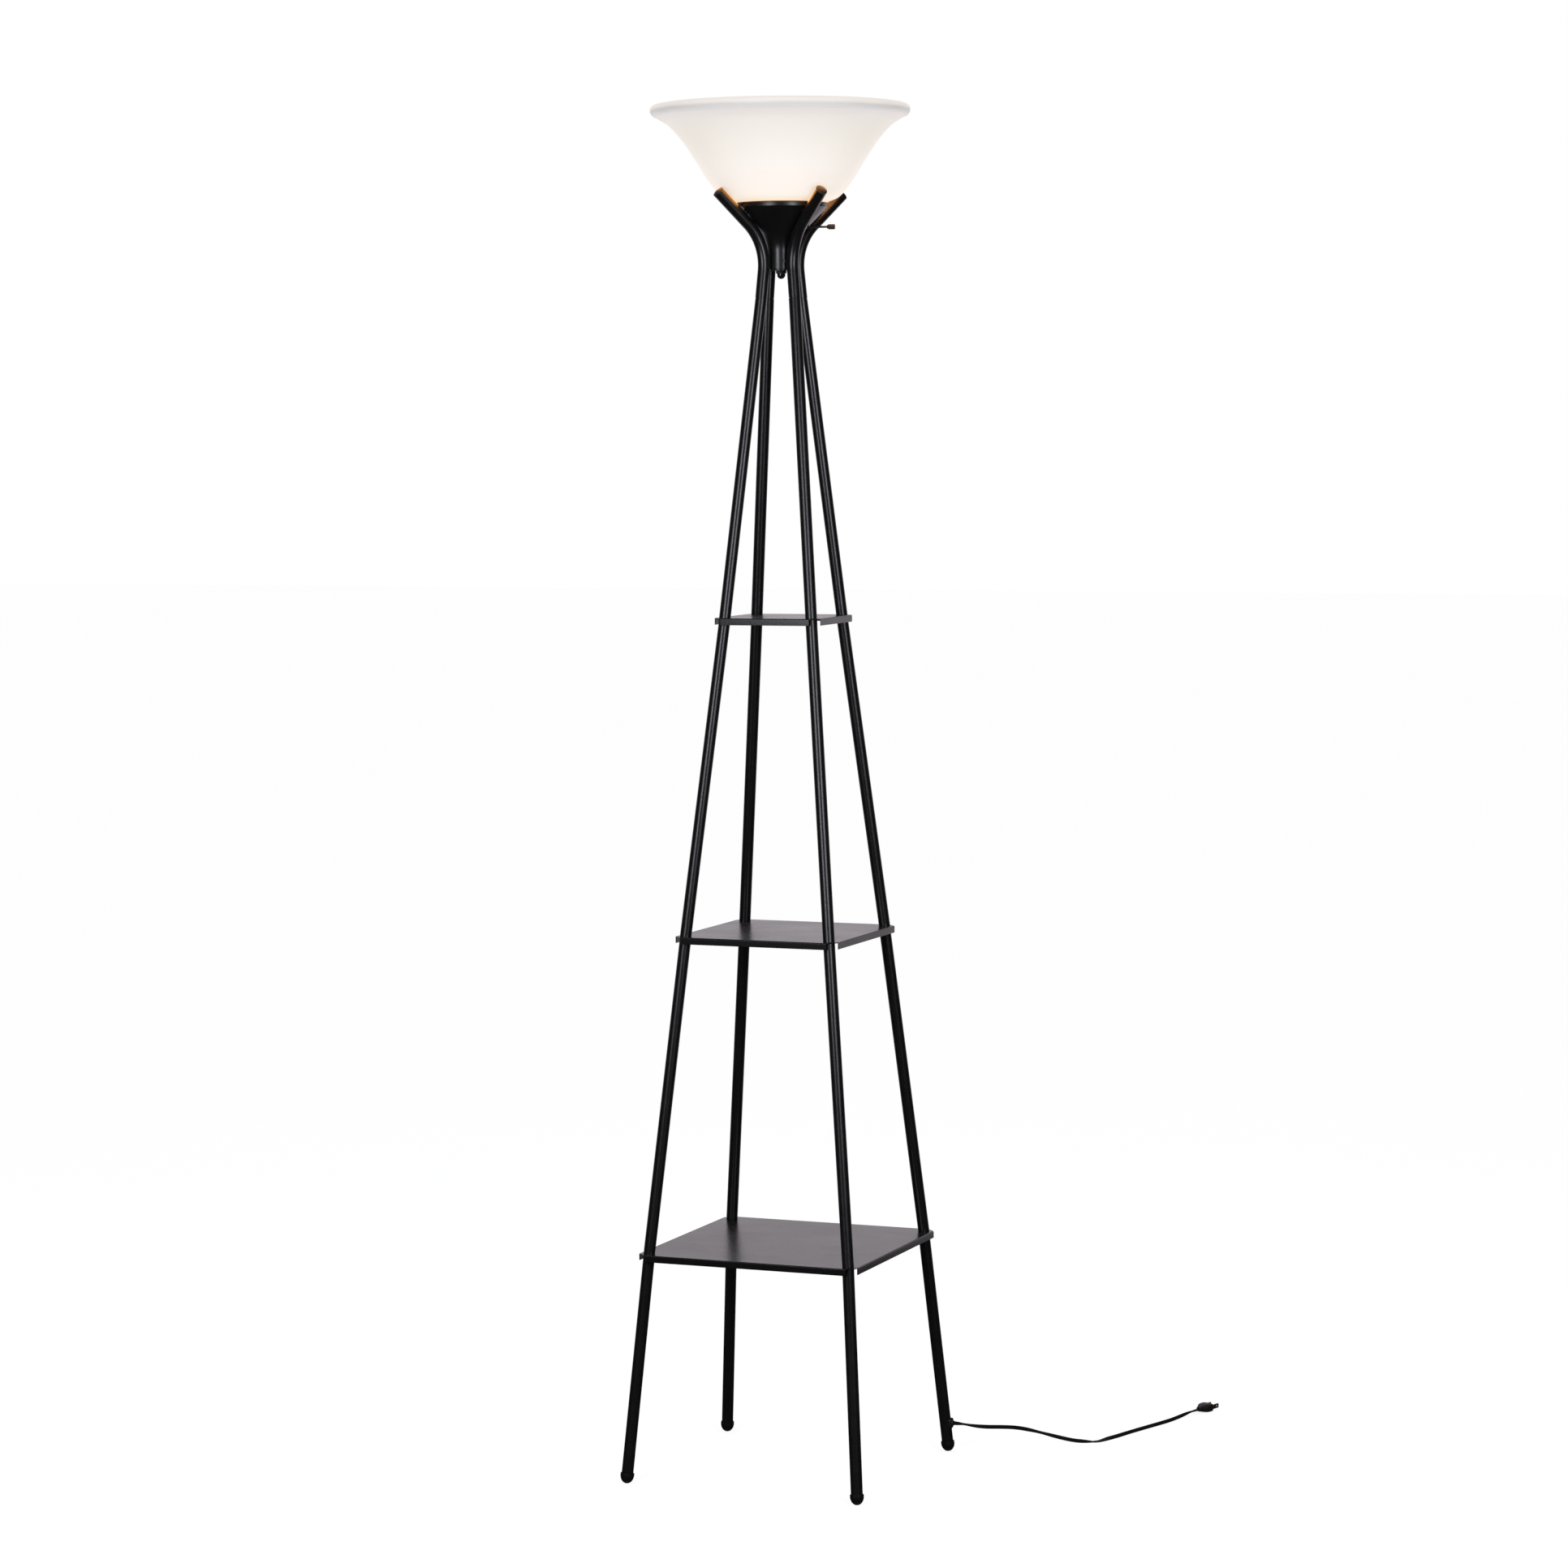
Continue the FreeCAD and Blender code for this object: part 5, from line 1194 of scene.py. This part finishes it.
# ---- cord -----------------------------------------------------------------------------------------
CORD_WIDTH = 0.0054
CORD_THICKNESS = 0.0027
CORD_EXIT = (0.1755515, 0.1584127, 0.039)
CORD_ROUTE = [
    CORD_EXIT,
    (0.1875515, 0.1584127, 0.039),
    (0.2010, 0.1642, 0.0362),
    (0.2140, 0.1765, 0.0330),
    (0.2250, 0.2040, 0.0280),
    (0.2360, 0.2360, 0.0215),
    (0.2470, 0.2625, 0.0135),
    (0.2670, 0.2750, 0.0066),
    (0.2900, 0.2725, 0.0034),
    (0.3130, 0.2645, 0.0028),
    (0.3310, 0.2675, 0.0028),
    (0.3440, 0.2810, 0.0028),
    (0.3550, 0.3040, 0.0028),
    (0.3680, 0.3460, 0.0028),
    (0.3835, 0.3910, 0.0028),
    (0.3960, 0.4260, 0.0028),
    (0.4045, 0.4525, 0.0042),
    (0.4115, 0.4740, 0.0062),
    (0.4180, 0.4940, 0.0062),
]
# How far the flat cord is turned on edge along its way: (share of its length, turn in degrees).
CORD_TWIST = [
    (0.0, 90),
    (0.03, 25),
    (0.1, 84),
    (0.26, 90),
    (0.325, 40),
    (0.39, 90),
    (0.45, 84),
    (0.505, 4),
    (0.57, -68),
    (0.66, -90),
    (0.9, -90),
    (1.0, -180),
]


def cord_line():
    """The route's smooth line, as the points of a NURBS spline."""
    curve = bpy.data.curves.new("cord_line", "CURVE")
    curve.dimensions = "3D"
    curve.resolution_u = 14
    spline = curve.splines.new("NURBS")
    spline.points.add(len(CORD_ROUTE) - 1)
    for point, place in zip(spline.points, CORD_ROUTE):
        point.co = (*place, 1)
    spline.order_u = 3
    spline.use_endpoint_u = True
    holder = bpy.data.objects.new("cord_line", curve)
    bpy.context.scene.collection.objects.link(holder)
    bpy.context.view_layer.update()
    mesh = bpy.data.meshes.new_from_object(holder.evaluated_get(bpy.context.evaluated_depsgraph_get()))
    line = [vertex.co.copy() for vertex in mesh.vertices]
    discard(holder)
    bpy.data.meshes.remove(mesh)
    return line


def eased(share, stops):
    """A value that eases from stop to stop."""
    for (a, first), (b, second) in zip(stops, stops[1:]):
        if share <= b:
            t = (share - a) / (b - a)
            return first + (second - first) * t * t * (3 - 2 * t)
    return stops[-1][1]


def cord_section():
    """The outline of two joined round wires, across the cord and up."""
    around = 24
    lobe = CORD_THICKNESS / 2
    apart = (CORD_WIDTH - CORD_THICKNESS) / 2
    groove_depth = 0.22
    groove_width = 0.28
    outline = []
    for k in range(around):
        a = 2 * math.pi * k / around
        c, s = math.cos(a), math.sin(a)
        side = 1 if c >= 0 else -1
        groove = 1 - groove_depth * math.exp(-((c / groove_width) ** 2))
        outline.append((side * apart * min(1, abs(c) / 0.5) + lobe * c, lobe * s * groove))
    return outline


class LAMP_OT_cord(bpy.types.Operator):
    """Build the flat cord, its bushing on the leg and the plug on its end"""

    bl_idname = "lamp.cord"
    bl_label = "Cord and plug"

    def execute(self, context):
        line = cord_line()
        cord = self.flat_cord(line)
        finished(cord, FINISHES["vinyl"], "stand", "cord_vinyl", "cord")
        repaint(FINISHES["cap"], "cord_bushing")
        direction = (line[-1] - line[-2]).normalized()
        heading = math.atan2(direction.y, direction.x)
        place = Matrix.Translation(CORD_ROUTE[-1]) @ Matrix.Rotation(heading, 4, "Z")
        body = self.plug_body(place)
        blades = self.blades(place)
        return {"FINISHED"}

    def flat_cord(self, line):
        """Two joined wires along the line, lowered to lie on the floor where they lie flat."""
        section = cord_section()
        above_floor = 0.1 * MM
        lies_below = 3.0 * MM
        lift_over = 4.0 * MM
        steps = [(b - a).length for a, b in zip(line, line[1:])]
        total = sum(steps)
        gone = 0.0
        points = []
        for k, place in enumerate(line):
            step = (line[min(k + 1, len(line) - 1)] - line[max(k - 1, 0)]).normalized()
            side = step.cross(UP).normalized()
            rise = side.cross(step)
            turn = math.radians(eased(gone / total, CORD_TWIST))
            c, s = math.cos(turn), math.sin(turn)
            spread = [side * (x * c - y * s) + rise * (x * s + y * c) for x, y in section]
            lowest = min(v.z for v in spread)
            drop = max(0.0, min(place.z, CORD_WIDTH / 2 + above_floor) + lowest - above_floor)
            lifted = min(max(place.z - lies_below, 0.0) / lift_over, 1.0)
            lying = eased(lifted, [(0.0, 1.0), (1.0, 0.0)])
            points += [place + v - UP * drop * lying for v in spread]
            if k < len(steps):
                gone += steps[k]
        piece = mesh_object("cord_flat_twin", points, (), ring_faces(len(line), len(section)))
        smoothed(piece)
        return baked(piece)

    def plug_body(self, place):
        """A moulded two-pin plug with a tapered, ribbed tail."""
        stations = [
            (0.0, 3.4, 2.6),
            (1.0, 3.9, 3.1),
            (4.5, 4.6, 3.9),
            (9.0, 7.6, 5.0),
            (12.0, 9.4, 5.6),
            (15.0, 10.2, 6.0),
            (21.5, 10.4, 6.1),
            (23.4, 10.1, 5.9),
            (24.0, 9.2, 5.1),
        ]
        around = 32
        squareness = 0.55
        points = []
        for x, half_wide, half_high in stations:
            for k in range(around):
                a = 2 * math.pi * k / around
                c, s = math.cos(a), math.sin(a)
                y = half_wide * MM * math.copysign(abs(c) ** squareness, c)
                z = half_high * MM * math.copysign(abs(s) ** squareness, s)
                points.append((x * MM, y, z))
        piece = mesh_object("plug_moulded", points, (), ring_faces(len(stations), around))
        round_off = piece.modifiers.new("Round", "SUBSURF")
        round_off.levels = 1
        round_off.render_levels = 1
        baked(piece, place)
        smoothed(piece)
        pressed_to_floor(piece)
        return finished(piece, FINISHES["vinyl"], "stand", "cord_vinyl", "plug_body")

    def blades(self, place):
        """Two flat blades with rounded corners and a hole near the end."""
        face = 24.0 * MM
        root = face - 4.0 * MM
        tip = face + 15.9 * MM
        half_wide = 6.35 / 2 * MM
        half_thick = 0.75 * MM
        apart = 12.7 / 2 * MM
        corner = 1.3 * MM
        inset = 0.3 * corner
        hole = arc((tip - 3.6 * MM, 0), 1.6 * MM, 0, 360, 16)[:-1]
        upper = [(tip, half_wide - corner), (tip - inset, half_wide - inset)]
        upper += [(tip - corner, half_wide), (root, half_wide)]
        outline = [(x, -z) for x, z in upper[::-1]] + upper
        shell = bmesh.new()
        for side in (-1, 1):
            loops = []
            for y in (side * apart - half_thick, side * apart + half_thick):
                rim = [shell.verts.new((x, y, z)) for x, z in outline]
                eye = [shell.verts.new((x, y, z)) for x, z in hole]
                pairs = [pair for ring in (rim, eye) for pair in zip(ring, ring[1:] + ring[:1])]
                edges = [shell.edges.new(pair) for pair in pairs]
                bmesh.ops.triangle_fill(shell, use_beauty=True, edges=edges)
                loops.append((rim, eye))
            for near, far in zip(*loops):
                for quad in zip(near, near[1:] + near[:1], far[1:] + far[:1], far):
                    shell.faces.new(quad)
        bmesh.ops.recalc_face_normals(shell, faces=shell.faces)
        piece = shell_object("plug_blades_stamped", shell)
        baked(piece, place)
        return finished(piece, FINISHES["brass"], "stand", "blade_brass", "plug_blades")


# ---- stage ----------------------------------------------------------------------------------------
CAMERA_PLACE = (2.2074, -5.4211, 1.3834)
CAMERA_YAW = 0.3869
CAMERA_PITCH = -0.0799
CAMERA_ROLL = -0.0073
LENS = 102.17
AWAY = (-math.sin(CAMERA_YAW), math.cos(CAMERA_YAW), 0)  # level, from the camera past the lamp
LAMP_BEARINGS = {"left": -96.3, "right": -40.0}
LAMP_WIDTH = 0.7
LAMP_LENGTH = 1.1
LAMP_HEIGHT = 1.41
LAMP_TINT = (0.90, 0.92, 1.0)
FLOOR_REACH = 30.0
FLOOR_WHITE = 0.86  # level that the floor shows by itself, to which light and shadow add the rest
SHADOW_TINT = (0.28, 0.28, 0.28, 1)
WHITE = (1, 1, 1, 1)


class LAMP_OT_stage(bpy.types.Operator):
    """Set the camera, the floor, the studio lamps and the white background"""

    bl_idname = "lamp.stage"
    bl_label = "Stage"

    def execute(self, context):
        stage = context.scene.lamp_stage
        self.camera(context.scene)
        self.floor(stage)
        for name, degrees in LAMP_BEARINGS.items():
            self.lamp(name, math.radians(degrees), stage)
        self.world(context.scene, stage)
        context.scene.view_settings.view_transform = "Standard"
        return {"FINISHED"}

    def camera(self, scene):
        """The camera, from its place, three angles and lens."""
        data = bpy.data.cameras.new("Camera")
        data.lens = LENS
        data.sensor_width = 36.0
        data.clip_end = 200.0
        camera = bpy.data.objects.new("Camera", data)
        scene.collection.objects.link(camera)
        ahead = Vector((
            -math.sin(CAMERA_YAW) * math.cos(CAMERA_PITCH),
            math.cos(CAMERA_YAW) * math.cos(CAMERA_PITCH),
            math.sin(CAMERA_PITCH),
        ))
        level = Vector((math.cos(CAMERA_YAW), math.sin(CAMERA_YAW), 0))
        above = level.cross(ahead)
        right = math.cos(CAMERA_ROLL) * level + math.sin(CAMERA_ROLL) * above
        above = -math.sin(CAMERA_ROLL) * level + math.cos(CAMERA_ROLL) * above
        turn = Matrix((right, above, -ahead)).transposed().to_4x4()
        camera.matrix_world = Matrix.Translation(CAMERA_PLACE) @ turn
        scene.camera = camera

    def floor(self, stage):
        """A wide floor that shows white to the camera and keeps part of the shadow."""
        corners = [(-1, -1, 0), (1, -1, 0), (1, 1, 0), (-1, 1, 0)]
        floor = mesh_object("Floor", [Vector(corner) * FLOOR_REACH for corner in corners], (), [(0, 1, 2, 3)])
        material = bpy.data.materials.new("Studio floor")
        material.use_nodes = True
        tree = material.node_tree
        tree.nodes.clear()
        where = put(tree, "ShaderNodeTexCoord").outputs["Object"]
        mottle = noise(tree, where, 3.0, 3)
        tint = ramp(tree, mottle, (0.3, scaled(stage.floor, 0.99)), (0.7, tuple(stage.floor)))
        matt = put(tree, "ShaderNodeBsdfDiffuse", Color=tint).outputs[0]
        pale = put(tree, "ShaderNodeBsdfDiffuse", Color=SHADOW_TINT).outputs[0]
        ray = put(tree, "ShaderNodeLightPath").outputs
        to_camera = ray["Is Camera Ray"]
        mirrored = maths(tree, "MAXIMUM", ray["Is Glossy Ray"], ray["Is Transmission Ray"])
        # Glossy faces mirror the white from 0.6 m behind the lamp on, within a wedge along the camera's line.
        bearing = put(tree, "ShaderNodeVectorMath", {"operation": "NORMALIZE"}, i0=where).outputs[0]
        far = span(tree, dot(tree, where, AWAY), 0.6, 2.0, 0.0, 1.0)
        ahead = span(tree, dot(tree, bearing, AWAY), 0.58, 0.80, 0.0, 1.0)
        backdrop = span(tree, maths(tree, "MULTIPLY", far, ahead), 0.0, 1.0, stage.room, 1.0)
        level = between(tree, to_camera, backdrop, FLOOR_WHITE)
        hue = tinted(tree, to_camera, (*stage.mirrored, 1), WHITE)
        white = put(tree, "ShaderNodeEmission", Color=hue, Strength=level).outputs[0]
        bright = put(tree, "ShaderNodeAddShader", i0=pale, i1=white).outputs[0]
        shown = put(tree, "ShaderNodeMixShader", Fac=to_camera, i1=white, i2=bright).outputs[0]
        seen = maths(tree, "MAXIMUM", to_camera, mirrored)
        mixed = put(tree, "ShaderNodeMixShader", Fac=seen, i1=matt, i2=shown).outputs[0]
        put(tree, "ShaderNodeOutputMaterial", Surface=mixed)
        floor.data.materials.append(material)

    def lamp(self, name, bearing, stage):
        """A tall soft lamp standing beside the camera's line, facing the floor lamp."""
        data = bpy.data.lights.new(f"Tall lamp {name}", "AREA")
        data.shape = "RECTANGLE"
        data.size = LAMP_WIDTH
        data.size_y = LAMP_LENGTH
        data.energy = stage.lamp_watts
        data.color = LAMP_TINT
        light = bpy.data.objects.new(f"Tall lamp {name}", data)
        bpy.context.scene.collection.objects.link(light)
        towards = Vector((math.cos(bearing), math.sin(bearing), 0))
        place = towards * stage.lamp_distance + UP * LAMP_HEIGHT
        aim = (-towards).to_track_quat("-Z", "Y").to_matrix().to_4x4()
        light.matrix_world = Matrix.Translation(place) @ aim
        light.visible_camera = False

    def world(self, scene, stage):
        """White behind the lamp for what the camera sees and mirrors, and soft grey light from all round."""
        world = bpy.data.worlds.new("Studio")
        scene.world = world
        world.use_nodes = True
        tree = world.node_tree
        tree.nodes.clear()
        ray = put(tree, "ShaderNodeLightPath").outputs
        mirrored = maths(tree, "MAXIMUM", ray["Is Glossy Ray"], ray["Is Transmission Ray"])
        facing = put(tree, "ShaderNodeTexCoord").outputs["Generated"]
        height = put(tree, "ShaderNodeSeparateXYZ", Vector=facing).outputs[2]
        # Glossy faces mirror a white wall behind the lamp, dimmer higher up, a dark room and a grey ceiling.
        ahead = span(tree, dot(tree, facing, AWAY), 0.5, 0.80, 0.0, 1.0)
        low = span(tree, height, 0.09, 0.24, 1.0, 0.62)
        wall = span(tree, maths(tree, "MULTIPLY", ahead, low), 0.0, 1.0, stage.room, 1.0)
        ceiling = span(tree, height, 0.5, 0.9, 0.0, stage.ceiling)
        soft = between(tree, mirrored, stage.ambient, maths(tree, "MAXIMUM", wall, ceiling))
        level = between(tree, ray["Is Camera Ray"], soft, 1.0)
        hue = tinted(tree, mirrored, WHITE, (*stage.mirrored, 1))
        sky = put(tree, "ShaderNodeBackground", Color=hue, Strength=level).outputs[0]
        put(tree, "ShaderNodeOutputWorld", Surface=sky)


class LAMP_PT_panel(bpy.types.Panel):
    """Settings and build steps of the floor lamp"""

    bl_idname = "LAMP_PT_panel"
    bl_label = "Floor Lamp"
    bl_space_type = "VIEW_3D"
    bl_region_type = "UI"
    bl_category = "Floor Lamp"

    def draw(self, context):
        layout = self.layout
        for operator in OPERATORS:
            layout.operator(operator.bl_idname)
        for group in ("lamp_stand", "lamp_head", "lamp_finish", "lamp_stage"):
            settings = getattr(context.scene, group)
            box = layout.box()
            for name in settings.bl_rna.properties.keys():
                if name not in ("rna_type", "name"):
                    box.prop(settings, name)


OPERATORS = (
    LAMP_OT_stage,
    LAMP_OT_cord,
    LAMP_OT_legs,
    LAMP_OT_feet,
    LAMP_OT_shelves,
    LAMP_OT_arms,
    LAMP_OT_cup,
    LAMP_OT_fasteners,
    LAMP_OT_socket,
    LAMP_OT_switch,
    LAMP_OT_bulb,
    LAMP_OT_shade,
)
GROUPS = {
    "lamp_stand": LampStandSettings,
    "lamp_head": LampHeadSettings,
    "lamp_finish": LampFinishSettings,
    "lamp_stage": LampStageSettings,
}


def register():
    for group in GROUPS.values():
        bpy.utils.register_class(group)
    for name, group in GROUPS.items():
        setattr(bpy.types.Scene, name, bpy.props.PointerProperty(type=group))
    for operator in OPERATORS:
        bpy.utils.register_class(operator)
    bpy.utils.register_class(LAMP_PT_panel)


def unregister():
    bpy.utils.unregister_class(LAMP_PT_panel)
    for operator in reversed(OPERATORS):
        bpy.utils.unregister_class(operator)
    for name, group in reversed(GROUPS.items()):
        delattr(bpy.types.Scene, name)
        bpy.utils.unregister_class(group)


def main():
    register()
    prepare(bpy.context.scene)
    bpy.ops.lamp.stage()
    bpy.ops.lamp.cord()
    bpy.ops.lamp.legs()
    bpy.ops.lamp.feet()
    bpy.ops.lamp.shelves()
    bpy.ops.lamp.arms()
    bpy.ops.lamp.cup()
    bpy.ops.lamp.fasteners()
    bpy.ops.lamp.socket()
    bpy.ops.lamp.switch()
    bpy.ops.lamp.bulb()
    bpy.ops.lamp.shade()


if __name__ == "__main__":
    main()
